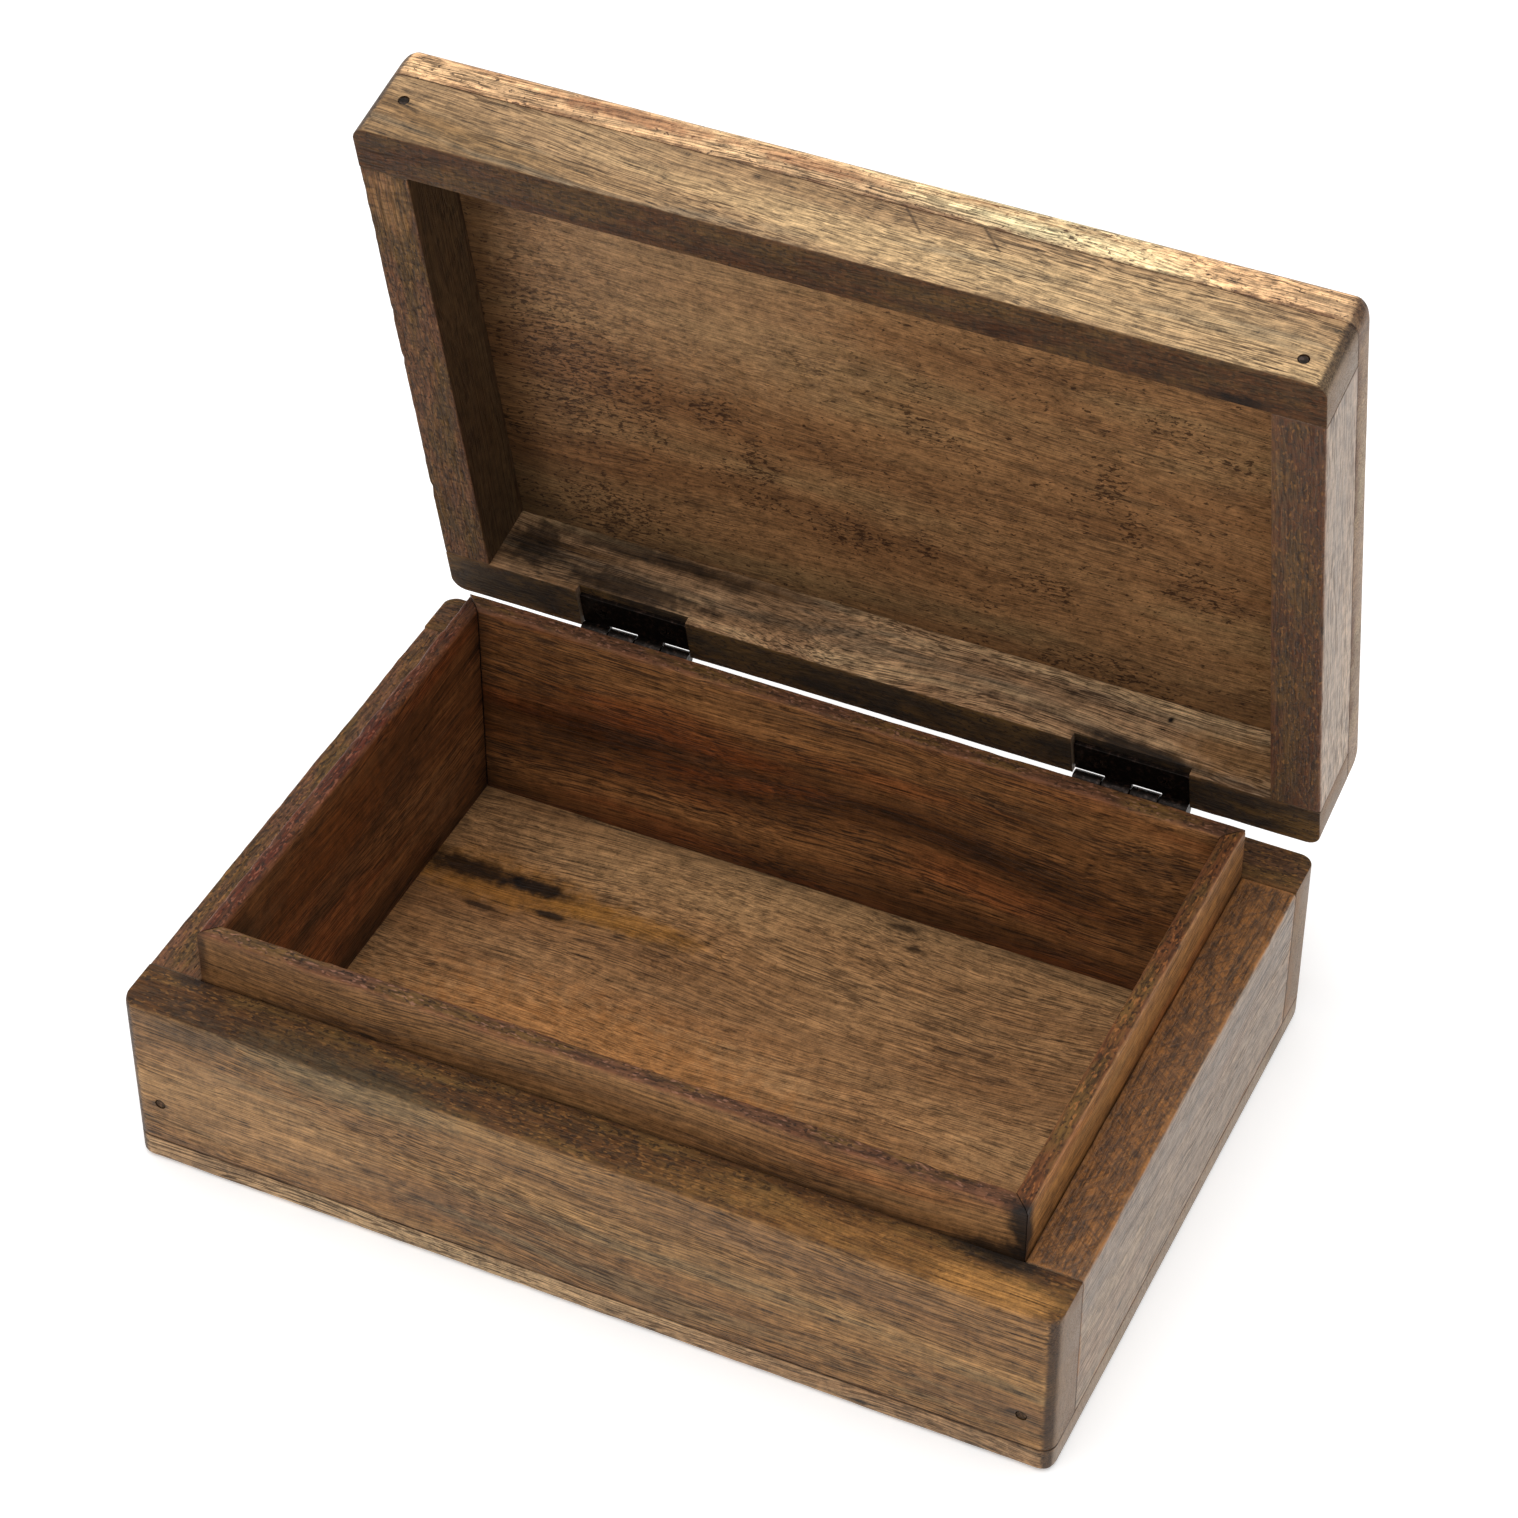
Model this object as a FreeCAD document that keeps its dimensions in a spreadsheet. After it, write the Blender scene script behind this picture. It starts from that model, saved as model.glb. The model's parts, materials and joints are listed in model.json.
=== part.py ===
import FreeCAD, Part
import Sketcher
import math
import os

from FreeCAD import Vector

doc = FreeCAD.newDocument("CardBox")

# Driving dimensions, in millimetres and degrees
driving_sizes = [
    ("box_length", "200", "outside length, left to right"),
    ("box_depth", "138.6", "outside depth, front to back"),
    ("base_height", "43", "underside to the rim of the base"),
    ("bottom_thickness", "6", "bottom board"),
    ("wall_thickness", "11.8", "boards round the base"),
    ("liner_thickness", "4.2", "thin boards inside the base"),
    ("liner_stand", "13.1", "height of the liner above the rim"),
    ("liner_easing", "1", "rounding of the liner's top edges"),
    ("lid_wall_height", "16.5", "boards round the lid, rim to top board"),
    ("lid_top_thickness", "8.4", "top board"),
    ("lid_swing_clearance", "0.3", "least room between lid and liner as the lid turns"),
    ("rim_gap", "0.3", "gap between the two rims with the lid shut"),
    ("lid_open_angle", "78", "lid as it stands, from shut"),
    ("corner_radius", "3.2", "upright outer corners"),
    ("lid_edge_radius", "3", "upper outer edges of the top board"),
    ("foot_easing", "1.2", "bevel of the bottom board's lower edges"),
    ("rim_easing", "0.6", "bevel of the outer edges of both rims"),
    ("hinge_length", "25.4", "butt hinge, along its pin"),
    ("left_hinge_inset", "31.8", "left end of the box to the left hinge"),
    ("right_hinge_inset", "28.6", "right end of the box to the right hinge"),
    ("leaf_thickness", "1", "sheet that the leaves are rolled from"),
    ("leaf_width", "10.4", "pin axis to the leaf's far edge"),
    ("barrel_radius", "2", "outside of the knuckles"),
    ("pin_radius", "0.95", "hinge pin"),
    ("pin_clearance", "0.04", "radial room of the pin in the knuckles"),
    ("pin_offset", "1.8", "back face of the box to the pin axis"),
    ("knuckle_gap", "0.3", "room between neighbouring knuckles"),
    ("notch_clearance", "0.3", "room between a knuckle and the other leaf"),
    ("mortise_clearance", "0.3", "room at each end of a leaf in its mortise"),
    ("screw_margin", "5.2", "end of a leaf to its nearer screw"),
    ("screw_reach", "6.4", "pin axis to the line of the screws"),
    ("screw_length", "9", "countersunk screw, overall"),
    ("screw_radius", "1.1", "shank of the screw below its head"),
    ("screw_head_radius", "2", "head of the screw"),
    ("screw_clearance", "0.05", "room round a screw in leaf and board"),
    ("nail_radius", "1.1", "corner nails"),
    ("nail_length", "26", "corner nails"),
    ("nail_sink", "0.2", "nail head below the face of the board"),
    ("nail_clearance", "0.03", "room round a nail"),
    ("nail_inset", "6.6", "end of the box to the line of the nails"),
    ("base_nail_height_left", "16.4", "underside to the nails at the left"),
    ("base_nail_height_right", "14.2", "underside to the nails at the right"),
    ("lid_nail_height_left", "10.2", "lid rim to the nails at the left"),
    ("lid_nail_height_right", "5.4", "lid rim to the nails at the right"),
]
sizes = doc.addObject("Spreadsheet::Sheet", "Sizes")
for row, (alias, value, meaning) in enumerate(driving_sizes, start=1):
    sizes.set(f"A{row}", meaning)
    sizes.set(f"B{row}", value)
    sizes.setAlias(f"B{row}", alias)
doc.recompute()

# Sides of the nails and of the screws' shanks, which have holes to match
nail_sides = 12
screw_sides = 8

# Sizes worked out from the sheet, as expressions
half_length = "(Sizes.box_length / 2)"
half_depth = "(Sizes.box_depth / 2)"
inner_half_length = f"({half_length} - Sizes.wall_thickness)"
inner_half_depth = f"({half_depth} - Sizes.wall_thickness)"
base_wall_height = "(Sizes.base_height - Sizes.bottom_thickness)"
liner_height = f"({base_wall_height} + Sizes.liner_stand)"
liner_easing = "min(Sizes.liner_easing; Sizes.liner_thickness * 0.45)"
pin_y = f"({half_depth} + Sizes.pin_offset)"
pin_z = "(Sizes.base_height + Sizes.rim_gap / 2)"
mortise_depth = "(Sizes.barrel_radius - Sizes.rim_gap / 2)"
leaf_face = "(Sizes.barrel_radius - Sizes.leaf_thickness)"
screw_head_depth = "(Sizes.screw_head_radius - Sizes.screw_radius)"
screw_reach_x = "(Sizes.hinge_length / 2 - Sizes.screw_margin)"
nail_end = "(Sizes.nail_sink + Sizes.nail_length)"
left_hinge_x = f"(Sizes.left_hinge_inset + Sizes.hinge_length / 2 - {half_length})"
right_hinge_x = f"({half_length} - Sizes.right_hinge_inset - Sizes.hinge_length / 2)"

# The front of the lid swings inwards by the rise of its arc as it passes the liner's top
swing_radius = "(Sizes.box_depth - Sizes.wall_thickness + Sizes.pin_offset)"
swing_room = f"({swing_radius} - sqrt({swing_radius}^2 - Sizes.liner_stand^2))"
lid_wall = f"(Sizes.wall_thickness - {swing_room} - Sizes.lid_swing_clearance)"

# Faces of the lid, shut, measured from the pin axis
lid_back = "(-Sizes.pin_offset)"
lid_front = "(-Sizes.pin_offset - Sizes.box_depth)"
lid_rim = "(Sizes.rim_gap / 2)"
lid_seam = f"({lid_rim} + Sizes.lid_wall_height)"
lid_turn = "rotation(vector(-1; 0; 0); Sizes.lid_open_angle)"
turned_over = "rotation(vector(0; 1; 0); 180)"


def value_of(expression):
    return float(sizes.evalExpression(expression))


def place(piece, x="0", y="0", z="0", turn="rotation(vector(0; 0; 1); 0)"):
    piece.setExpression("Placement", f"placement(vector({x}; {y}; {z}); {turn})")


def place_on_lid(piece):
    place(piece, y=pin_y, z=pin_z, turn=lid_turn)


def new_body(label):
    body = doc.addObject("PartDesign::Body", label)
    body.Label = label
    return body


def new_sketch(body, role, offset="0"):
    sketch = body.newObject("Sketcher::SketchObject", "Sketch")
    plane = next(feature for feature in body.Origin.OriginFeatures if feature.Role == role)
    sketch.AttachmentSupport = [(plane, "")]
    sketch.MapMode = "FlatFace"
    sketch.setExpression("AttachmentOffset.Base.z", offset)
    return sketch


def fix_point(sketch, index, position, x, y):
    # Ties one point of the sketch to its two distances from the origin
    for axis, expression in (("DistanceX", x), ("DistanceY", y)):
        limit = Sketcher.Constraint(axis, -1, 1, index, position, value_of(expression))
        number = sketch.addConstraint(limit)
        sketch.setExpression(f"Constraints[{number}]", expression)


def draw_outline(sketch, corners):
    # Closed outline of straight lines through the corners
    first = sketch.GeometryCount
    points = [Vector(value_of(x), value_of(y), 0) for x, y in corners]
    for start, end in zip(points, points[1:] + points[:1]):
        sketch.addGeometry(Part.LineSegment(start, end))
    for step, (x, y) in enumerate(corners):
        following = first + (step + 1) % len(corners)
        sketch.addConstraint(Sketcher.Constraint("Coincident", first + step, 2, following, 1))
        fix_point(sketch, first + step, 1, x, y)


def draw_rectangle(sketch, x_low, x_high, y_low, y_high):
    draw_outline(sketch, [(x_low, y_low), (x_high, y_low), (x_high, y_high), (x_low, y_high)])


def draw_polygon(sketch, x, y, radius, sides):
    # Regular outline with its first corner on the x side of its centre
    turns = [2 * math.pi * step / sides for step in range(sides)]
    draw_outline(sketch, [
        (f"{x} + {math.cos(turn):.9f} * {radius}", f"{y} + {math.sin(turn):.9f} * {radius}")
        for turn in turns
    ])


def draw_circle(sketch, x, y, radius):
    centre = Vector(value_of(x), value_of(y), 0)
    circle = sketch.addGeometry(Part.Circle(centre, Vector(0, 0, 1), value_of(radius)))
    fix_point(sketch, circle, 3, x, y)
    number = sketch.addConstraint(Sketcher.Constraint("Radius", circle, value_of(radius)))
    sketch.setExpression(f"Constraints[{number}]", radius)


def add_pad(body, sketch, length):
    pad = body.newObject("PartDesign::Pad", "Pad")
    pad.Profile = sketch
    pad.setExpression("Length", length)
    doc.recompute()
    return pad


def add_pocket(body, sketch, depth, reverse=False):
    before = body.Tip.Shape.Volume
    pocket = body.newObject("PartDesign::Pocket", "Pocket")
    pocket.Profile = sketch
    pocket.Reversed = reverse
    pocket.setExpression("Length", depth)
    doc.recompute()
    if pocket.Shape.Volume >= before:
        raise RuntimeError(f"a cut in {body.Label} removes nothing")
    return pocket


def dress_edges(body, kind, measure, size, chosen):
    # Fillets or chamfers the edges of the body for which chosen(edge) is true
    names = [f"Edge{n}" for n, edge in enumerate(body.Tip.Shape.Edges, start=1) if chosen(edge)]
    dressing = body.newObject(f"PartDesign::{kind}", kind)
    dressing.Base = (dressing.BaseFeature, names)
    dressing.setExpression(measure, size)
    doc.recompute()


def add_fillet(body, radius, chosen):
    dress_edges(body, "Fillet", "Radius", radius, chosen)


def add_chamfer(body, size, chosen):
    dress_edges(body, "Chamfer", "Size", size, chosen)


def near(first, second):
    return abs(first - second) < 1e-6


def is_upright(edge):
    box = edge.BoundBox
    return near(box.XLength, 0) and near(box.YLength, 0)


def lies_at(axis, expression):
    # Test for edges in the plane across the axis at the given place
    place_on_axis = value_of(expression)

    def test(edge):
        ends = (getattr(edge.BoundBox, f"{axis}{end}") for end in ("Min", "Max"))
        return all(near(end, place_on_axis) for end in ends)

    return test


def shape_long_board(body, rim, outer, inner):
    # Rounds the outer upright corners of a full-length board and bevels the outside of its rim
    at_outer, at_inner, at_rim = lies_at("Y", outer), lies_at("Y", inner), lies_at("Z", rim)
    add_fillet(body, "Sizes.corner_radius", lambda edge: is_upright(edge) and at_outer(edge))
    add_chamfer(body, "Sizes.rim_easing", lambda edge: at_rim(edge) and not at_inner(edge))


def shape_side_board(body, rim, outer):
    at_outer, at_rim = lies_at("X", outer), lies_at("Z", rim)
    add_chamfer(body, "Sizes.rim_easing", lambda edge: at_rim(edge) and at_outer(edge))


def cut_nail_holes(body, start, toward_back, bottom, heights, depth, sides):
    # Holes along Y that begin at the plane y = start
    sketch = new_sketch(body, "XZ_Plane", f"-({start})")
    for side in sides:
        x = f"{'-' if side == 'left' else ''}({half_length} - Sizes.nail_inset)"
        z = f"({bottom} + {heights}_{side})"
        draw_polygon(sketch, x, z, "(Sizes.nail_radius + Sizes.nail_clearance)", nail_sides)
    add_pocket(body, sketch, depth, reverse=not toward_back)


def cut_hinge_seats(body, rim, outer, inner, screw_line, down):
    # Two mortises across the top of the board, and the screws' pilot holes below them
    mortises = new_sketch(body, "XY_Plane", rim)
    half_seat = "(Sizes.hinge_length / 2 + Sizes.mortise_clearance)"
    for hinge_x in (left_hinge_x, right_hinge_x):
        draw_rectangle(
            mortises, f"{hinge_x} - {half_seat}", f"{hinge_x} + {half_seat}", inner, outer
        )
    add_pocket(body, mortises, mortise_depth, reverse=not down)
    pilots = new_sketch(body, "XY_Plane", rim)
    for hinge_x in (left_hinge_x, right_hinge_x):
        for side in ("-", "+"):
            x = f"{hinge_x} {side} {screw_reach_x}"
            pilot_radius = "(Sizes.screw_radius + Sizes.screw_clearance)"
            draw_polygon(pilots, x, screw_line, pilot_radius, screw_sides)
    pilot_depth = f"({mortise_depth} - Sizes.leaf_thickness + Sizes.screw_length)"
    add_pocket(body, pilots, f"({pilot_depth} + Sizes.screw_clearance)", reverse=not down)


# Walls of the base, standing on the bottom board
def base_long_board(label, outer, inner, toward_back):
    body = new_body(label)
    sketch = new_sketch(body, "XY_Plane")
    draw_rectangle(sketch, f"-{half_length}", half_length, outer, inner)
    add_pad(body, sketch, base_wall_height)
    shape_long_board(body, base_wall_height, outer, inner)
    place(body, z="Sizes.bottom_thickness")
    cut_nail_holes(
        body, outer, toward_back, "-Sizes.bottom_thickness", "Sizes.base_nail_height",
        "Sizes.wall_thickness", ("left", "right"),
    )
    return body


def base_side_board(label, outer, inner, side):
    body = new_body(label)
    sketch = new_sketch(body, "XY_Plane")
    draw_rectangle(sketch, outer, inner, f"-{inner_half_depth}", inner_half_depth)
    add_pad(body, sketch, base_wall_height)
    shape_side_board(body, base_wall_height, outer)
    place(body, z="Sizes.bottom_thickness")
    nail_reach = f"({nail_end} - Sizes.wall_thickness)"
    for start, toward_back in ((f"-{inner_half_depth}", True), (inner_half_depth, False)):
        cut_nail_holes(
            body, start, toward_back, "-Sizes.bottom_thickness", "Sizes.base_nail_height",
            nail_reach, (side,),
        )
    return body


bottom = new_body("base_bottom_board")
bottom_sketch = new_sketch(bottom, "XY_Plane")
draw_rectangle(bottom_sketch, f"-{half_length}", half_length, f"-{half_depth}", half_depth)
add_pad(bottom, bottom_sketch, "Sizes.bottom_thickness")
add_fillet(bottom, "Sizes.corner_radius", is_upright)
add_chamfer(bottom, "Sizes.foot_easing", lies_at("Z", "0"))
place(bottom)

base_front = base_long_board("base_front_board", f"-{half_depth}", f"-{inner_half_depth}", True)
base_back = base_long_board("base_back_board", half_depth, inner_half_depth, False)
cut_hinge_seats(
    base_back, base_wall_height, half_depth, inner_half_depth,
    f"({pin_y} - Sizes.screw_reach)", down=True,
)
base_left = base_side_board("base_left_board", f"-{half_length}", f"-{inner_half_length}", "left")
base_right = base_side_board("base_right_board", half_length, inner_half_length, "right")


# Liner of thin boards, mitred at the corners
def liner_board(label, corners):
    body = new_body(label)
    sketch = new_sketch(body, "XY_Plane")
    draw_outline(sketch, corners)
    add_pad(body, sketch, liner_height)
    long_side = max(edge.Length for edge in body.Tip.Shape.Edges)
    short_side = long_side - 2 * value_of("Sizes.liner_thickness")
    at_top = lies_at("Z", liner_height)
    add_fillet(
        body, liner_easing,
        lambda edge: at_top(edge) and (near(edge.Length, long_side) or near(edge.Length, short_side)),
    )
    place(body, z="Sizes.bottom_thickness")
    return body


well_half_length = f"({inner_half_length} - Sizes.liner_thickness)"
well_half_depth = f"({inner_half_depth} - Sizes.liner_thickness)"
for label, sign in (("liner_front", "-"), ("liner_back", "")):
    liner_board(label, [
        (f"-{inner_half_length}", f"{sign}{inner_half_depth}"),
        (inner_half_length, f"{sign}{inner_half_depth}"),
        (well_half_length, f"{sign}{well_half_depth}"),
        (f"-{well_half_length}", f"{sign}{well_half_depth}"),
    ])
for label, sign in (("liner_left", "-"), ("liner_right", "")):
    liner_board(label, [
        (f"{sign}{inner_half_length}", f"-{inner_half_depth}"),
        (f"{sign}{inner_half_length}", inner_half_depth),
        (f"{sign}{well_half_length}", well_half_depth),
        (f"{sign}{well_half_length}", f"-{well_half_depth}"),
    ])


# Lid, drawn shut about the pin axis and turned open by its placement
def lid_long_board(label, outer, inner, toward_back):
    body = new_body(label)
    sketch = new_sketch(body, "XY_Plane", lid_rim)
    draw_rectangle(sketch, f"-{half_length}", half_length, outer, inner)
    add_pad(body, sketch, "Sizes.lid_wall_height")
    shape_long_board(body, lid_rim, outer, inner)
    place_on_lid(body)
    cut_nail_holes(
        body, outer, toward_back, lid_rim, "Sizes.lid_nail_height", lid_wall, ("left", "right")
    )
    return body


lid_inner_front = f"({lid_front} + {lid_wall})"
lid_inner_back = f"({lid_back} - {lid_wall})"


def lid_side_board(label, outer, inner, side):
    body = new_body(label)
    sketch = new_sketch(body, "XY_Plane", lid_rim)
    draw_rectangle(sketch, outer, inner, lid_inner_front, lid_inner_back)
    add_pad(body, sketch, "Sizes.lid_wall_height")
    shape_side_board(body, lid_rim, outer)
    place_on_lid(body)
    for start, toward_back in ((lid_inner_front, True), (lid_inner_back, False)):
        cut_nail_holes(
            body, start, toward_back, lid_rim, "Sizes.lid_nail_height",
            f"({nail_end} - {lid_wall})", (side,),
        )
    return body


lid_front_board = lid_long_board("lid_front_board", lid_front, lid_inner_front, True)
lid_back_board = lid_long_board("lid_back_board", lid_back, lid_inner_back, False)
cut_hinge_seats(
    lid_back_board, lid_rim, lid_back, lid_inner_back, "(-Sizes.screw_reach)", down=False
)
lid_side_board("lid_left_board", f"-{half_length}", f"(-{half_length} + {lid_wall})", "left")
lid_side_board("lid_right_board", half_length, f"({half_length} - {lid_wall})", "right")

lid_top = new_body("lid_top_board")
lid_top_sketch = new_sketch(lid_top, "XY_Plane", lid_seam)
draw_rectangle(lid_top_sketch, f"-{half_length}", half_length, lid_front, lid_back)
add_pad(lid_top, lid_top_sketch, "Sizes.lid_top_thickness")
add_fillet(lid_top, "Sizes.corner_radius", is_upright)
lid_edge = "min(Sizes.lid_edge_radius; Sizes.corner_radius * 0.95)"
add_fillet(lid_top, lid_edge, lies_at("Z", f"{lid_seam} + Sizes.lid_top_thickness"))
place_on_lid(lid_top)


# Butt hinges: two like leaves, one turned over, on a loose pin
knuckle_count = 4
knuckle_pitch = f"(Sizes.hinge_length / {knuckle_count})"


def draw_leaf_profile(sketch):
    # Flat sheet that rolls up into the barrel, seen along the pin
    radius = value_of("Sizes.barrel_radius")
    low = -radius
    high = low + value_of("Sizes.leaf_thickness")
    far = -value_of("Sizes.leaf_width")
    root = -((radius ** 2 - high ** 2) ** 0.5)
    barrel = Part.Circle(Vector(0, 0, 0), Vector(0, 0, 1), radius)
    sole = sketch.addGeometry(Part.LineSegment(Vector(far, low, 0), Vector(0, low, 0)))
    roll = sketch.addGeometry(
        Part.ArcOfCircle(barrel, barrel.parameter(Vector(0, low, 0)), barrel.parameter(Vector(root, high, 0)))
    )
    face = sketch.addGeometry(Part.LineSegment(Vector(root, high, 0), Vector(far, high, 0)))
    edge = sketch.addGeometry(Part.LineSegment(Vector(far, high, 0), Vector(far, low, 0)))
    sketch.addConstraint(Sketcher.Constraint("Coincident", roll, 3, -1, 1))
    sketch.addConstraint(Sketcher.Constraint("Tangent", sole, 2, roll, 1))
    for first, second in ((roll, face), (face, edge), (edge, sole)):
        sketch.addConstraint(Sketcher.Constraint("Coincident", first, 2, second, 1))
    sketch.addConstraint(Sketcher.Constraint("Horizontal", sole))
    sketch.addConstraint(Sketcher.Constraint("Horizontal", face))
    sketch.addConstraint(Sketcher.Constraint("Vertical", edge))
    for limit, expression in (
        (Sketcher.Constraint("Radius", roll, radius), "Sizes.barrel_radius"),
        (Sketcher.Constraint("DistanceX", -1, 1, edge, 1, far), "-Sizes.leaf_width"),
        (Sketcher.Constraint("DistanceY", edge, 2, edge, 1, high - low), "Sizes.leaf_thickness"),
    ):
        number = sketch.addConstraint(limit)
        sketch.setExpression(f"Constraints[{number}]", expression)
    draw_circle(sketch, "0", "0", "(Sizes.pin_radius + Sizes.pin_clearance)")


def hinge_leaf(label, other_knuckles):
    body = new_body(label)
    profile = new_sketch(body, "YZ_Plane", "-Sizes.hinge_length / 2")
    draw_leaf_profile(profile)
    add_pad(body, profile, "Sizes.hinge_length")
    # Notches for the other leaf's knuckles, cut from above
    notches = new_sketch(body, "XY_Plane", "Sizes.barrel_radius")
    notch_edge = "(-Sizes.barrel_radius - Sizes.notch_clearance)"
    for knuckle in other_knuckles:
        start = f"({knuckle} - {knuckle_count} / 2) * {knuckle_pitch}"
        draw_rectangle(
            notches, f"{start} - Sizes.knuckle_gap / 2",
            f"{start} + {knuckle_pitch} + Sizes.knuckle_gap / 2",
            notch_edge, "(Sizes.barrel_radius + Sizes.notch_clearance)",
        )
    add_pocket(body, notches, "(2 * Sizes.barrel_radius)")
    # Countersunk holes for the two screws
    marks = new_sketch(body, "XY_Plane", f"-{leaf_face}")
    for side in ("-", ""):
        draw_circle(marks, f"{side}{screw_reach_x}", "-Sizes.screw_reach", "Sizes.screw_radius")
    doc.recompute()
    holes = body.newObject("PartDesign::Hole", "Hole")
    holes.Profile = marks
    holes.ThreadType = "None"
    holes.DepthType = "ThroughAll"
    holes.HoleCutType = "Countersink"
    holes.HoleCutCountersinkAngle = 90
    holes.setExpression("Diameter", "2 * (Sizes.screw_radius + Sizes.screw_clearance)")
    holes.setExpression("HoleCutDiameter", "2 * (Sizes.screw_head_radius + Sizes.screw_clearance)")
    doc.recompute()
    return body


# The knuckles alternate from the outer end of each hinge, so the two hinges are a handed pair
for side, hinge_x, lid_knuckles in (("left", left_hinge_x, (0, 2)), ("right", right_hinge_x, (1, 3))):
    base_leaf = hinge_leaf(f"{side}_hinge_base_leaf", lid_knuckles)
    place(base_leaf, hinge_x, pin_y, pin_z)
    lid_leaf = hinge_leaf(f"{side}_hinge_lid_leaf", lid_knuckles)
    place(lid_leaf, hinge_x, pin_y, pin_z, f"{lid_turn} * {turned_over}")
    pin = doc.addObject("Part::Cylinder", f"{side}_hinge_pin")
    pin.setExpression("Radius", "Sizes.pin_radius")
    pin.setExpression("Height", "Sizes.hinge_length")
    place(pin, f"{hinge_x} - Sizes.hinge_length / 2", pin_y, pin_z, "rotation(vector(0; 1; 0); 90)")


# Screws, each a countersunk head on a shank, driven along +Z from the face of a leaf
def screw(name, x, y, z, turn):
    head = doc.addObject("Part::Cone", f"{name}_head")
    head.setExpression("Radius1", "Sizes.screw_head_radius")
    head.setExpression("Radius2", "Sizes.screw_radius")
    head.setExpression("Height", screw_head_depth)
    shank = doc.addObject("Part::Prism", f"{name}_shank")
    shank.Polygon = screw_sides
    shank.setExpression("Circumradius", "Sizes.screw_radius")
    shank.setExpression("Height", "Sizes.screw_length")
    whole = doc.addObject("Part::Fuse", name)
    whole.Base = head
    whole.Tool = shank
    place(whole, x, y, z, turn)
    return whole


def screw_set(label, z, turn):
    # The four screws of one side of both hinges, about the pin axis
    screws = []
    for hinge, hinge_x in (("left", left_hinge_x), ("right", right_hinge_x)):
        for sign in ("-", "+"):
            x = f"{hinge_x} {sign} {screw_reach_x}"
            screws.append(screw(f"{label}_{hinge}_{len(screws)}", x, "-Sizes.screw_reach", z, turn))
    group = doc.addObject("Part::Compound", label)
    group.Links = screws
    return group


base_screws = screw_set("base_leaf_screws", f"-{leaf_face}", "rotation(vector(1; 0; 0); 180)")
place(base_screws, y=pin_y, z=pin_z)
lid_screws = screw_set("lid_leaf_screws", leaf_face, "rotation(vector(0; 0; 1); 0)")
place_on_lid(lid_screws)


# Nails at the corners, driven through the long boards into the ends of the side boards
def nail_set(label, front, back, bottom, heights):
    nails = []
    for face, turn, inward in ((front, "-90", "+"), (back, "90", "-")):
        for side, sign in (("left", "-"), ("right", "")):
            nail = doc.addObject("Part::Prism", f"{label}_{len(nails)}")
            nail.Polygon = nail_sides
            nail.setExpression("Circumradius", "Sizes.nail_radius")
            nail.setExpression("Height", "Sizes.nail_length")
            place(
                nail, f"{sign}({half_length} - Sizes.nail_inset)", f"{face} {inward} Sizes.nail_sink",
                f"{bottom} + {heights}_{side}", f"rotation(vector(1; 0; 0); {turn})",
            )
            nails.append(nail)
    group = doc.addObject("Part::Compound", label)
    group.Links = nails
    return group


base_nails = nail_set("base_corner_nails", f"-{half_depth}", half_depth, "0", "Sizes.base_nail_height")
place(base_nails)
lid_nails = nail_set("lid_corner_nails", lid_front, lid_back, lid_rim, "Sizes.lid_nail_height")
place_on_lid(lid_nails)

doc.recompute()
for piece in doc.Objects:
    if "Invalid" in piece.State or "Error" in piece.State:
        raise RuntimeError(f"{piece.Label} did not build: {piece.State}")

pieces = [piece for piece in doc.Objects if piece.TypeId == "PartDesign::Body"]
pieces += [doc.getObject(f"{side}_hinge_pin") for side in ("left", "right")]
pieces += [base_screws, lid_screws, base_nails, lid_nails]
for piece in pieces:
    if piece.Shape.isNull() or not piece.Shape.isValid():
        raise RuntimeError(f"{piece.Label} has no valid shape")

os.makedirs("parts", exist_ok=True)
for piece in pieces:
    piece.Shape.exportStep(f"parts/{piece.Label}.step")
    box = piece.Shape.BoundBox
    print(f"{piece.Label}: {len(piece.Shape.Solids)} solid(s), {piece.Shape.Volume:.0f} mm3,", box)
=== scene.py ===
import json
import math

import bmesh
import bpy
from mathutils import Matrix, Vector, noise


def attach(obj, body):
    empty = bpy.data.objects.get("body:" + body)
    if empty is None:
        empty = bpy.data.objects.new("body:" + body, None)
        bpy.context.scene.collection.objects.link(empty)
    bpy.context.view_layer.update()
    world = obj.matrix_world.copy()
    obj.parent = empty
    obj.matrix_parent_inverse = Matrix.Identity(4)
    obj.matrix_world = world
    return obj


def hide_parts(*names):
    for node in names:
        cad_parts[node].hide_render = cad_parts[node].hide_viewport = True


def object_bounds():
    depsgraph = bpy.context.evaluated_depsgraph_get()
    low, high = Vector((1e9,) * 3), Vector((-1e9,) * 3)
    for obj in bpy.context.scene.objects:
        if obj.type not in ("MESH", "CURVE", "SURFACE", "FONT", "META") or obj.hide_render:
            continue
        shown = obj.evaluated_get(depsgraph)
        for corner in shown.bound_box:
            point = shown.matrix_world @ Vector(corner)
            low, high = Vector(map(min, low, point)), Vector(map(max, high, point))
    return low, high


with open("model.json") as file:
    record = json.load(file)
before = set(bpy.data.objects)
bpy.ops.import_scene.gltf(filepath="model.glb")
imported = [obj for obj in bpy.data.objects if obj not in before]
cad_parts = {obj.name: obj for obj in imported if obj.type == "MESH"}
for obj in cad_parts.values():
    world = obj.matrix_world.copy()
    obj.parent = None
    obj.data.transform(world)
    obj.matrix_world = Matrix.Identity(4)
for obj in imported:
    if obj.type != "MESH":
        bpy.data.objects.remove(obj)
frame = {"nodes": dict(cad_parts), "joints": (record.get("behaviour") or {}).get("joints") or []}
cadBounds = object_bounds()
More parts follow.
